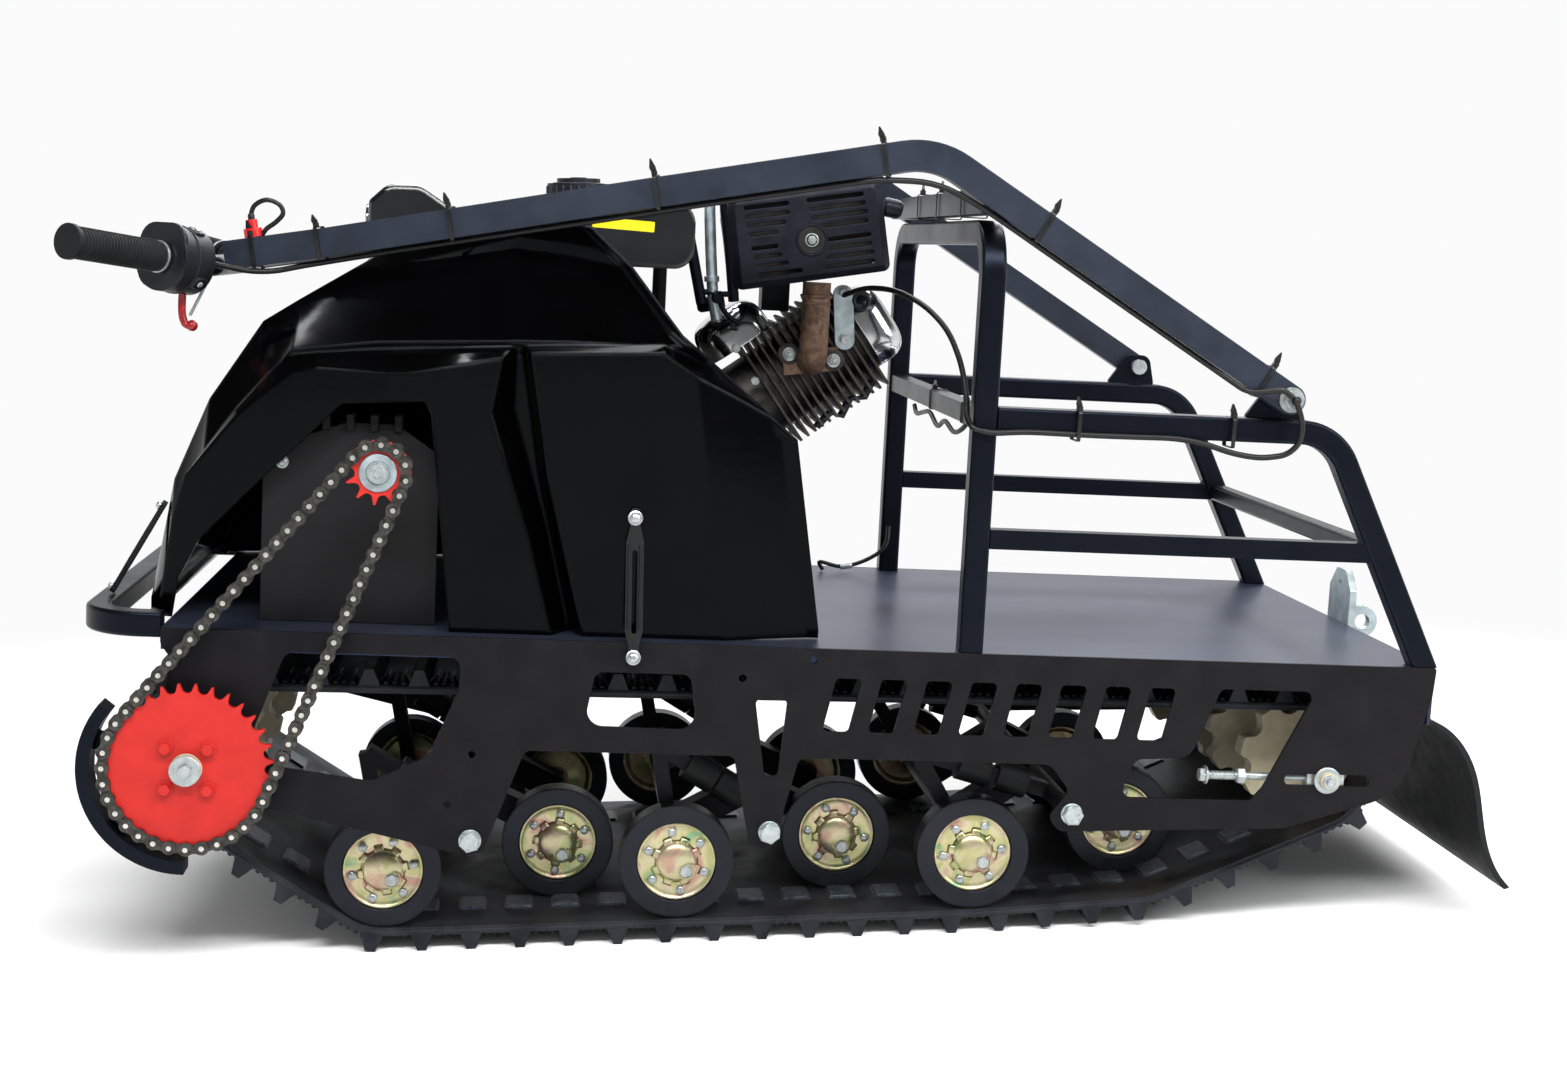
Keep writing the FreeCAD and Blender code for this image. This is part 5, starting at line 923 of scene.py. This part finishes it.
class TOWING_OT_sprockets(bpy.types.Operator):
    """Washers, bolts and the small hub's ring on the faces of the two sprockets"""
    bl_idname = "towing.sprockets"
    bl_label = "Sprocket hubs"

    def execute(self, context):
        red, zinc, ring = bmesh.new(), bmesh.new(), bmesh.new()
        x, z, _ = CHAIN_CIRCLES[0]
        plate = facing(x, CHAIN_PLANE + 3.2, z)
        for across, over in ((1, 1), (-1, 1), (-1, -1), (1, -1)):
            hex_bolt(red, moved(plate, 20.5 * across, 20.5 * over, 0), 11, 6.2, 8.2)
        hub = facing(x, left_face("drive_sprocket", "drive_axle"), z)
        lathe(zinc, [(15.5, 0), (15.5, 1.6), (14.8, 2.2), (9, 2.2)], hub, 36)
        hex_bolt(zinc, moved(hub, 0, 0, 2) @ turned(0.3), 13, 6.5)
        x, z, _ = CHAIN_CIRCLES[1]
        hub = facing(x, left_face("engine_sprocket"), z)
        lathe(ring, [(19, -3), (19, 1.4), (18, 2.4), (12, 2.4), (11.4, 1.2), (9, 1.2)], hub, 40)
        hex_bolt(zinc, moved(hub, 0, 0, 1.2) @ turned(0.5), 15, 7.5, stud=2)
        piece("sprocket_bolts", red, "red powder coat")
        piece("sprocket_washers", zinc, "bright zinc")
        piece("small_sprocket_ring", ring, "zinc sheet")
        return {"FINISHED"}


# ---- track

# How far from the middle plane the ribs, the clips and the guides stand, in mm.
RIBS_AT, CLIPS_AT, GUIDES_AT = 214, (190, 70), 174


class TOWING_OT_track(bpy.types.Operator):
    """Fan ribs, clips and guides of the track, by node groups, and the beads along its edges"""
    bl_idname = "towing.track"
    bl_label = "Track tread"

    def execute(self, context):
        gear = context.scene.towing_running_gear
        path = belt_path(TRACK_CIRCLES, 8)
        inner = belt_path(TRACK_CIRCLES)
        pitch, inner_pitch = (belt_length(loop) / gear.lug_count for loop in (path, inner))
        ribs, clips, guides = [], [], []
        for i in range(gear.lug_count):
            (x, z), out = point_on(path, (i + 0.5) * pitch)
            (low_x, low_z), low_out = point_on(inner, i * inner_pitch)
            for side in (1, -1):
                ribs.append(self.on_belt(x, z, out, side, RIBS_AT))
                clips += [self.on_belt(x, z, out, side, across) for across in CLIPS_AT]
                guides.append(self.on_belt(low_x, low_z, low_out, side, GUIDES_AT))
        spread("track_guides", guides, self.clip_group("track guide", 0.0122), {
            "Clip width": 0.037, "Clip length": 0.026, "Clip thickness": 0.006}, "worn clip steel")
        spread("track_ribs", ribs, self.rib_group(gear.rib_count), {
            "Rib length": 0.062, "Rib height": 0.0050, "Rib width": 0.0040}, "track rubber")
        spread("track_clips", clips, self.clip_group("track clip", 0.0078), {
            "Clip width": 0.030, "Clip length": 0.017, "Clip thickness": 0.0018}, "zinc sheet")
        self.beads(path)
        return {"FINISHED"}

    def on_belt(self, x, z, out, side, across):
        """Matrix on the belt's outside: +Z outwards, +X towards the belt's near edge."""
        normal = heading(out[0], 0, out[1])
        edge = Vector((0, side, 0))
        return axes(edge, normal.cross(edge), normal, spot(x, side * across, z))

    def rib_group(self, count):
        """Low ribs that fan out from the lug's end towards the belt's edge."""
        tree, start = group_with("fan ribs", {"Rib length": 0.06, "Rib height": 0.003, "Rib width": 0.004})
        size = add_node(tree, "ShaderNodeCombineXYZ", {
            axis: start.outputs["Rib " + size] for axis, size in zip("XYZ", ("length", "width", "height"))})
        block = add_node(tree, "GeometryNodeMeshCube", {"Size": size})
        middle = (count - 1) / 2
        leans = [(i - middle) / max(1, middle) for i in range(count)]
        return instanced(tree, start, [add_node(tree, "GeometryNodeTransform", {
            "Geometry": block, "Translation": (0.004 * abs(lean), 0.0125 * lean, 0.0006),
            "Rotation": (0, 0, 0.16 * lean)}) for lean in leans])

    def clip_group(self, label, reach):
        """Pressed clip: a plate with two upturned lips that guide the sprocket."""
        tree, start = group_with(label, {"Clip width": 0.03, "Clip length": 0.017, "Clip thickness": 0.0018})
        width, deep, thick = (start.outputs["Clip " + size] for size in ("width", "length", "thickness"))
        plate, wall = (add_node(tree, "GeometryNodeMeshCube", {
            "Size": add_node(tree, "ShaderNodeCombineXYZ", {"X": width, "Y": y, "Z": z})})
            for y, z in ((deep, thick), (thick, 0.004)))
        return instanced(tree, start, [plate] + [add_node(tree, "GeometryNodeTransform", {
            "Geometry": wall, "Translation": (0, side * reach, 0.0016)}) for side in (1, -1)])

    def beads(self, path):
        """Rounded bead along each edge of the belt."""
        shape = bmesh.new()
        steps, inset, edge = 220, 2.6, 247.6
        stride = belt_length(path) / steps
        for side in (1, -1):
            line = []
            for i in range(steps):
                (x, z), out = point_on(path, i * stride)
                line.append(spot(x - out[0] * inset, side * edge, z - out[1] * inset))
            tube(shape, line, 3.6, 8, closed=True)
        piece("track_edge_beads", shape, "track rubber")


# ---- hood, lamp and tank


class TOWING_OT_hood_trim(bpy.types.Operator):
    """The straps' studs and beads, the lamp's lens and rim, the tank's trim and the panel's bolts"""
    bl_idname = "towing.hood_trim"
    bl_label = "Hood trim"

    def execute(self, context):
        self.studs()
        self.lamp()
        self.tank_strip()
        self.panel()
        return {"FINISHED"}

    def studs(self):
        studs, beads = bmesh.new(), bmesh.new()
        for side in (1, -1):
            low, high = Vector((346, side * 307.2, -22)), Vector((349, side * 277.2, 134))
            along, out = self.strap_ends(studs, low, high, Vector((-side, 0, 0)), 18, 3.0)
            for offset in (-5.6, 5.6):
                shift = out * 3.1 + Vector((offset, 0, 0))
                tube(beads, [spot(*(low + along * reach + shift)) for reach in (37, 121)], 1.5, 8)
            low, high = Vector((880, side * 190, 15.85)), Vector((827, side * 188, 112))
            self.strap_ends(studs, low, high, Vector((0, 1, 0)), 13, 2.5)
        piece("strap_studs", studs, "bright zinc")
        piece("strap_beads", beads, "moulded rubber", sharp=60)

    def strap_ends(self, shape, low, high, level, width, lift):
        """Stud on its washer near each end of a strap; gives the strap's direction and its outside."""
        along = (high - low).normalized()
        out = level.cross(along)
        for share in (0.05, 0.935):
            place = facing(*(low + (high - low) * share + out * lift), tuple(out))
            lathe(shape, [(width * 0.42, 0), (width * 0.42, 0.8), (width * 0.34, 1.2)], place, 28)
            dome(shape, moved(place, 0, 0, 1), width * 0.3, 3.6)
        return along, out

    def lamp(self):
        lens, rim = bmesh.new(), bmesh.new()
        front = facing(642.0, 0, 403.5, (1, 0, 0))
        prism(lens, rounded(84, 40, 14, 6), -0.4, 2.6, front, 1.4)
        line = [front @ (Vector((x, y, 1.2)) * MM) for x, y in rounded(88, 44, 16, 8)]
        tube(rim, line, 2.0, 8, closed=True)
        piece("lamp_lens", lens, "lamp lens")
        piece("lamp_rim", rim, "bright chrome")
        clip = bmesh.new()
        for side in (1, -1):
            place = facing(634, side * 40, 370, (0.55, 0, 0.83))
            prism(clip, rounded(9, 16, 2), 0, 1.6, place, 0.3)
            dome(clip, moved(place, 0, 3, 1.6), 3, 1.8)
        piece("lamp_clips", clip, "bright zinc")

    def tank_strip(self):
        strip, filler = bmesh.new(), bmesh.new()
        place = facing(368.5, left_face("fuel_tank"), 418, (0, 1, 0), radians(-2.0))
        prism(strip, rounded(66, 11, 1), -0.3, 0.25, place)
        piece("tank_strip", strip, "yellow film")
        top = facing(416.7, 0, 467.4, (0.04, 0, 1))
        for x, y in regular(24, 33.8):
            lathe(filler, [(1.8, 0), (1.8, 14), (1.2, 15)], moved(top, x, y, -23.5), 8)
        lathe(filler, [(30, -7.4), (28, -5.2), (10, -4.6), (9, 0.8), (0, 1.2)], top, 40)
        piece("filler_cap_ribs", filler, "moulded black plastic")

    def panel(self):
        face = left_face("bearing_panel")
        bolts = bmesh.new()
        for x, z in ((704.8, 162.5), (500, 186)):
            place = facing(x, face, z)
            lathe(bolts, [(6.4, 0), (6.4, 1.0), (5.4, 1.2)], place, 24)
            dome(bolts, moved(place, 0, 0, 1), 4.6, 3.0)
        piece("panel_bolts", bolts, "bright zinc")
        ribs = bmesh.new()
        for x in range(590, 663, 24):
            prism(ribs, [(-4, -9), (4, -9), (4, 9), (-4, 9)], 0, 13, facing(x, face - 9, 206), 1.5)
        piece("panel_ribs", ribs, "charcoal structure paint")


# ---- handlebar and its controls

# Ends of the left and right grip, and the directions back along the bar.
GRIP_END = (Vector((899, 312, 373)), Vector((899, -312, 373)))
GRIP_BACK = (Vector((-0.5627, -0.8208, -0.0981)), Vector((-0.5627, 0.8208, -0.0981)))


class TOWING_OT_controls(bpy.types.Operator):
    """Ribs, ends and collars of the grips, the throttle housing's seams, the lever and the lanyard"""
    bl_idname = "towing.controls"
    bl_label = "Controls"

    def execute(self, context):
        self.grips()
        self.housing()
        self.lanyard()
        return {"FINISHED"}

    def along(self, side, distance):
        """Matrix on the bar's axis, a distance in mm from the grip's end, facing outwards."""
        end, back = GRIP_END[side], GRIP_BACK[side]
        return facing(*(end + back * distance), tuple(-back))

    def grips(self):
        places = [self.along(side, 8 + 4.2 * i) for side in (0, 1) for i in range(25)]
        tree, start = group_with("grip rib", {"Grip diameter": 0.03, "Rib width": 0.0018})
        radii = [add_node(tree, "ShaderNodeMath", {0: start.outputs[label], 1: 0.5}, operation="MULTIPLY")
                 for label in ("Grip diameter", "Rib width")]
        ring, section = (add_node(tree, "GeometryNodeCurvePrimitiveCircle", {
            "Resolution": steps, "Radius": radius}) for steps, radius in zip((40, 8), radii))
        bead = add_node(tree, "GeometryNodeCurveToMesh", {"Curve": ring, "Profile Curve": section})
        smooth = add_node(tree, "GeometryNodeSetShadeSmooth", {"Geometry": bead})
        spread("grip_ribs", places, instanced(tree, start, smooth), {
            "Grip diameter": 0.0304, "Rib width": 0.0017}, "moulded rubber", body="drawbar")
        caps, collars = bmesh.new(), bmesh.new()
        for side in (0, 1):
            place = self.along(side, -0.9)
            lathe(caps, [(16.6, -1.0), (16.9, 0.6), (15.4, 1.6), (7.4, 1.9), (6.2, 1.2), (5.6, -0.4),
                         (0, -0.6)], place, 40)
            lathe(collars, [(15.3, -1.5), (16.4, -1.3), (16.4, 1.3), (15.3, 1.5)], self.along(side, 116), 40)
        piece("grip_ends", caps, "moulded rubber", body="drawbar")
        piece("grip_collars", collars, "zinc sheet", body="drawbar")

    def housing(self):
        plastic, metal, red = bmesh.new(), bmesh.new(), bmesh.new()
        flange = self.along(0, 122)
        prism(plastic, rounded(62, 66, 20, 6, (0, 2)), -2.4, 2.2, flange, 1.0)
        seam = self.along(0, 141)
        lathe(plastic, [(33.8, -2.0), (34.9, -1.4), (34.9, 1.4), (33.8, 2.0)], seam, 56)
        for angle in (60, 200, 320):
            outer = moved(seam @ turned(radians(angle)), 33.5, 0, -8)
            at = outer @ Matrix.Rotation(pi / 2, 4, "Y")
            prism(plastic, rounded(16, 14, 4, 4), -2, 2.6, at, 1.2)
            lathe(metal, [(3.2, 2.2), (3.2, 3.4), (2.4, 4.2), (0.9, 4.2), (0.9, 3.0), (0, 3.0)], at, 18)
        perch = self.along(0, 164)
        prism(metal, rounded(20, 16, 4, 4, (0, -19)), -6.2, 6.2, perch, 1.0)
        for across in (-13, 13):
            hex_bolt(metal, moved(perch, across, -12, 6), 7, 3.4, 4.6)
        line = smooth_line(((804.5, 174, 357), (807, 184, 345), (812.5, 190, 332), (813.8, 190, 318),
                            (813.4, 190, 304), (810.5, 190, 295), (805, 190, 292)), 5)
        tube(red, line, 4.2, 14, flat=0.8)
        knob, bends = 5.8, [radians(angle) for angle in range(-72, 73, 12)]
        ball = [(knob * cos(bend), knob * sin(bend)) for bend in bends]
        lathe(red, [(0, -knob), *ball, (0, knob)], Matrix.Translation(spot(803.5, 190, 293)), 24)
        tube(metal, [spot(806, 190, 303), spot(797, 188, 322), spot(790, 184, 338)], 1.6, 10)
        piece("housing_seams", plastic, "moulded black plastic", body="drawbar")
        piece("control_metal", metal, "bright zinc", body="drawbar")
        lever = piece("lever", red, "dipped red vinyl", body="drawbar", sharp=60)
        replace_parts(lever, "brake_lever")

    def lanyard(self):
        loop = bmesh.new()
        tube(loop, smooth_line(((753, 136, 396), (754, 136, 408), (750, 138, 418), (738, 141, 424),
                                (725, 142, 420), (721, 141, 411), (728, 139, 402), (738, 138, 394),
                                (743, 137, 386)), 8), 2.5, 12)
        lathe(loop, [(3.2, 0), (3.6, 1), (3.6, 9), (3.0, 11)], facing(753, 136, 398, (0.1, 0, 1)), 18)
        piece("switch_lanyard", loop, "cable sheath", body="drawbar", sharp=60)


# ---- engine

# (Ahead, up) places of the crankshaft and of the corners of the guard's louvred part, the directions
# along the cylinder and across it, and the exhaust pipe's (ahead, left) place.
CRANK = (308, 159)
LOUVRES = ((102, 474), (85, 385), (240, 357), (252, 445))
CYLINDER_AXIS, CYLINDER_SIDE = Vector((-0.809, 0, 0.588)), Vector((0.588, 0, 0.809))
PIPE = (154, 86)


def upright(y):
    """Matrix for an outline given by its (ahead, up) places; its heights go to the right."""
    return axes(heading(1, 0, 0), heading(0, 0, 1), heading(0, -1, 0), spot(0, y, 0))


class TOWING_OT_engine(bpy.types.Operator):
    """Covers, bolts, welds, struts and grille of the cylinder, guard, pipe, tank and starter"""
    bl_idname = "towing.engine"
    bl_label = "Engine hardware"

    def execute(self, context):
        self.covers()
        self.guard()
        self.pipe()
        self.cylinder()
        self.struts()
        self.starter()
        return {"FINISHED"}

    def covers(self):
        """Swollen bright covers over the rocker gear and over the root of the cylinder."""
        for name, node, along, over, half, tip in (
                ("rocker_cover", "head_cover", 262.2, 0, (46, 56, 40), True),
                ("cylinder_cover", "cylinder_shroud", 142, 62.2, (42, 60, 43), False)):
            middle = Vector((CRANK[0], 0, CRANK[1])) + CYLINDER_AXIS * along + CYLINDER_SIDE * over
            up, level = (CYLINDER_AXIS, CYLINDER_SIDE) if tip else (CYLINDER_SIDE, CYLINDER_AXIS)
            up, level = heading(*up), heading(*level)
            shape = bmesh.new()
            pillow(shape, axes(level, up.cross(level), up, spot(*middle)), half, 3.6, 0.0)
            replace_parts(piece(name, shape, "bright chrome", sharp=60), node)

    def guard(self):
        liner = bmesh.new()
        prism(liner, LOUVRES, -16, -12, upright(16))
        piece("guard_liner", liner, "sooty steel")
        ring, bolt, painted_shade, outlet = bmesh.new(), bmesh.new(), bmesh.new(), bmesh.new()
        place = facing(167, left_face("muffler_guard"), 412, (0, 1, 0), radians(10))
        lathe(ring, [(17, -0.2), (17, 1.2), (15.8, 2.0), (14.6, 1.0), (14.2, -0.2)], place, 40)
        # The thin dark disc inside the boss ring is painted shade: it darkens the boss's hollow as its shadow
        # would.
        lathe(painted_shade, [(14.6, 0.1), (14.2, 0.5), (8, 0.3), (0, 0.3)], place, 40)
        lathe(bolt, [(7.4, 0.2), (7.4, 1.4), (6.6, 1.9)], place, 32)
        hex_bolt(bolt, moved(place, 0, 0, 1.4), 8.5, 4.5, stud=2.5)
        lathe(outlet, [(0, -12), (9, -12), (10.4, -10), (10.4, 1), (9.6, 5), (7, 8.2), (4.6, 8.2), (4.2, 3),
                       (0, 3)], facing(76, 104, 450, (-1, 0, -0.18)), 32)
        piece("guard_boss", ring, "stove black")
        piece("guard_boss_painted_shade", painted_shade, "sooty steel")
        piece("guard_bolt", bolt, "bright zinc")
        piece("guard_outlet", outlet, "stove black")

    def pipe(self):
        bolts, weld, ears = bmesh.new(), bmesh.new(), bmesh.new()
        for x, z in ((178.6, 286.5), (129.0, 281.6)):
            place = facing(x, 66.4, z)
            lathe(ears, [(0, -6), (12.6, -6), (12.6, -1), (11.6, 0), (0, 0)], place, 36)
            lathe(bolts, [(7.5, 0), (7.5, 1.4), (6.5, 1.8)], place, 24)
            hex_bolt(bolts, moved(place, 0, 0, 1.6), 10, 6.5, stud=4)
        piece("flange_ears", ears, "cast aluminium")
        piece("flange_nuts", bolts, "bright zinc")
        for radius, height, thick in ((16.2, 352, 1.8), (16.0, 344, 1.0)):
            line = [spot(PIPE[0] + x, PIPE[1] + y, height) for x, y in regular(28, radius)]
            tube(weld, line, thick, 8, closed=True)
        piece("pipe_welds", weld, "heat-browned steel")

    def cylinder(self):
        zinc, strap, ring, under = bmesh.new(), bmesh.new(), bmesh.new(), bmesh.new()
        top, low = Vector((122.8, 61.5, 365.1)), Vector((116.6, 61.5, 293.9))
        middle, along = (top + low) / 2, (top - low).normalized()
        lean = atan2(along.x, along.z)
        plate = facing(*middle, (0, 1, 0), lean)
        prism(strap, rounded(22, (top - low).length, 10.4, 8), 0, 4.4, plate, 0.6)
        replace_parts(piece("muffler_strap", strap, "zinc sheet"), "muffler_bracket")
        for at, flats in ((top - along * 8.5, 9), (low + along * 11, 10)):
            place = facing(at.x, 65.9, at.z, (0, 1, 0), 0.4)
            lathe(zinc, [(7.2, 0), (7.2, 1.2), (6.4, 1.5)], place, 24)
            hex_bolt(zinc, moved(place, 0, 0, 1.2), flats, 5)
        for x, z in ((237.2, 289.8), (214.5, 254.6)):
            place = facing(x, 60.6, z, (0, 1, 0), 0.8)
            prism(zinc, regular(6, 5.4), 0, 4.2, place, 1.0)
        piece("cylinder_bolts", zinc, "bright zinc")
        tube(ring, [spot(101.6 + x, 64, 349 + z) for x, z in regular(28, 8.5)], 2.7, 10, closed=True)
        piece("breather_ring", ring, "moulded black plastic")
        edge = ((141.3, 205.7), (126.6, 223.1), (114.0, 219.2), (105.0, 239.6), (89.3, 241.5), (80.4, 261.9))
        left, right = ([spot(x, y, z - drop) for x, z in edge] for y, drop in ((58, 0), (20, 2)))
        for strip in (left, right):
            tube(under, strip, 2.4, 8)
        for corners in zip(left, left[1:], right[1:], right):
            under.faces.new([under.verts.new(corner) for corner in corners])
        piece("fin_deflector", under, "stove black", sharp=60)

    def struts(self):
        tubes, posts = bmesh.new(), bmesh.new()
        tube(tubes, [spot(275.8, 92, 446), spot(272, 92, 395), spot(267.5, 90, 345), spot(262, 84, 322)],
             6.2, 18)
        lathe(tubes, [(6.4, -2), (8.2, -2), (8.2, 4), (6.4, 4)], facing(269.6, 91, 366, (-0.05, 0, -1)), 24)
        piece("intake_tube", tubes, "zinc sheet")
        for line in (((259.6, 98, 446), (252, 96, 400), (244.5, 90, 342)),
                     ((304.8, 96, 444), (294, 96, 400), (279.5, 92, 338))):
            tube(posts, [spot(*place) for place in line], 6.0, 14)
        tube(posts, [spot(286, 92, 352), spot(262, 94, 349), spot(240, 92, 350)], 3.2, 10)
        tube(posts, smooth_line(((262, 96, 352), (258, 98, 336), (250, 96, 326), (238, 92, 318)), 5), 3.0, 10)
        lathe(posts, [(0, -5), (5, -5), (6.4, -3), (6.4, 3), (5, 5), (0, 5)], facing(263, 96, 345), 20)
        prism(posts, rounded(30, 16, 4), -10, 10, facing(268, 70, 338, (0, 1, 0), 0.2), 2)
        piece("tank_posts", posts, "satin powder coat", sharp=50)

    def starter(self):
        """Ring of rounded slots and a stepped crown on the starter's face."""
        grille = bmesh.new()
        x, z = CRANK
        slots, reach = 12, 74
        for i in range(slots):
            angle = tau * i / slots
            middle = facing(x + reach * cos(angle), -170.2, z + reach * sin(angle), (0, -1, 0))
            prism(grille, rounded(9, 5, 2.2, 3), 0, 3.2, middle @ turned(-angle), 0.8)
        crown = facing(x, -184.1, z, (0, -1, 0))
        lathe(grille, [(44, -0.5), (44, 1.2), (40, 2.2), (30, 2.2), (28, 0.6), (16, 0.6), (14, 2.4),
                       (0, 2.8)], crown, 48)
        piece("starter_grille", grille, "gloss tank paint")


# ---- ties and small cables

# Height of the hoop's bar, and the line along the middle of the drawbar's left tube.
HOOP_BAR = 241
DRAWBAR_LINE = (Vector((-310, 306, 275)), Vector((69, 306, 503)), Vector((340, 242, 450)),
                Vector((668, 157, 384)), Vector((778, 129, 364)))


class TOWING_OT_ties(bpy.types.Operator):
    """Cable ties round the tubes, the cable on the deck and the one under the hoop's bar"""
    bl_idname = "towing.ties"
    bl_label = "Cable ties"

    def execute(self, context):
        moving, fixed = bmesh.new(), bmesh.new()
        for ahead, tail in ((748, 13), (680, 10), (544, 12), (338, 14), (116, 12), (-44, 12), (-281, 13)):
            middle, along = self.on_drawbar(ahead)
            self.tie(moving, middle, along, 23.4, 33.4, tail)
        for ahead in (-95, -256):
            self.tie(fixed, Vector((ahead, 291, 238)), Vector((1, 0, 0.02)), 29, 29, 11)
        for left in (40, -90, 190):
            self.tie(moving, Vector((5, left, 458)), Vector((0, 1, 0)), 28, 28, 9)
        for left in (20, 217):
            self.tie(fixed, Vector((0, left, HOOP_BAR)), Vector((0, 1, 0)), 21, 21, 7)
        cable, fitting = bmesh.new(), bmesh.new()
        tube(cable, smooth_line([(7, left, HOOP_BAR - 14 + drop) for left, drop in (
            (246, 8), (205, -5), (160, -11), (105, -4), (60, -13), (5, -2), (-45, -6), (-85, -10),
            (-104, -2))], 6), 2.7, 10)
        tube(cable, smooth_line(((88, -250, 2), (92, -250, 12), (66, -250, 7), (41, -250, 13), (18, -250, 26),
                                 (8, -252, 40), (6, -256, 60)), 6), 2.6, 12)
        lathe(fitting, [(0, 0), (4.2, 0), (4.2, 13), (3.4, 15), (0, 15)],
              facing(66, -250, 7, (-1, 0, 0.15)), 20)
        piece("deck_cable", cable, "cable sheath", sharp=60)
        piece("deck_cable_fitting", fitting, "bright zinc")
        piece("drawbar_ties", moving, "nylon tie", body="drawbar")
        piece("frame_ties", fixed, "nylon tie")
        return {"FINISHED"}

    def on_drawbar(self, ahead):
        """Centre of the near tube and its direction at a distance ahead."""
        for a, b in zip(DRAWBAR_LINE, DRAWBAR_LINE[1:]):
            if a.x <= ahead <= b.x:
                return a + (b - a) * ((ahead - a.x) / (b.x - a.x)), (b - a).normalized()

    def tie(self, shape, middle, along, width, height, tail):
        """Strap round a tube with its lock on top and its tail standing up."""
        along = along.normalized()
        across = Vector((0, 1, 0)) - along * along.y if abs(along.y) < 0.9 else Vector((1, 0, 0))
        across.normalize()
        over = along.cross(across)
        over = over if over.z > 0 else -over
        outer = rounded(width + 2.4, height + 2.4, 3.2, 3)
        inner = rounded(width, height, 2.0, 3)
        rings = []
        for outline, offset in ((outer, -2), (outer, 2), (inner, 2), (inner, -2)):
            rings.append([shape.verts.new(spot(*(middle + across * a + over * b + along * offset)))
                          for a, b in outline])
        skin(shape, rings, closed=True)
        top = middle + over * (height / 2 + 1) + across * (width / 2 - 5)
        place = facing(*top, tuple(over))
        prism(shape, rounded(7, 6, 1, 2), 0, 5, place, 0.8)
        side, thick = heading(*along) * 0.0026, heading(*across) * 0.0012
        corners = []
        for up, lean, share in ((3, 0, 1.0), (3 + tail * 0.35, 1, 1.25), (3 + tail, 2, 0.25)):
            end = spot(*(top + over * up + along * lean))
            corners.append([shape.verts.new(end + side * share * a + thick * b)
                            for a, b in ((1, 1), (-1, 1), (-1, -1), (1, -1))])
        skin(shape, corners)


STEPS = (TOWING_OT_stage, TOWING_OT_finishes, TOWING_OT_wheels, TOWING_OT_plate_bolts, TOWING_OT_chain,
         TOWING_OT_sprockets, TOWING_OT_track, TOWING_OT_hood_trim, TOWING_OT_controls, TOWING_OT_engine,
         TOWING_OT_ties)


# ---- panel and registration


class TOWING_PT_panel(bpy.types.Panel):
    """Lists the steps that build the vehicle and their sizes"""
    bl_idname = "TOWING_PT_panel"
    bl_label = "Towing vehicle"
    bl_space_type = "VIEW_3D"
    bl_region_type = "UI"
    bl_category = "Towing vehicle"

    def draw(self, context):
        for step in STEPS:
            self.layout.operator(step.bl_idname)
        for name in SETTINGS:
            group = getattr(context.scene, name)
            box = self.layout.box()
            for label in group.bl_rna.properties.keys():
                if label not in ("rna_type", "name"):
                    box.prop(group, label)


SETTINGS = {"towing_studio": TOWING_PG_studio, "towing_running_gear": TOWING_PG_running_gear,
            "towing_chain": TOWING_PG_chain}


def register():
    for group in SETTINGS.values():
        bpy.utils.register_class(group)
    for name, group in SETTINGS.items():
        setattr(bpy.types.Scene, name, PointerProperty(type=group))
    for step in STEPS:
        bpy.utils.register_class(step)
    bpy.utils.register_class(TOWING_PT_panel)


def unregister():
    bpy.utils.unregister_class(TOWING_PT_panel)
    for step in reversed(STEPS):
        bpy.utils.unregister_class(step)
    for name, group in SETTINGS.items():
        delattr(bpy.types.Scene, name)
        bpy.utils.unregister_class(group)


def main():
    register()
    for step in STEPS:
        family, action = step.bl_idname.split(".")
        getattr(getattr(bpy.ops, family), action)()


if __name__ == "__main__":
    main()
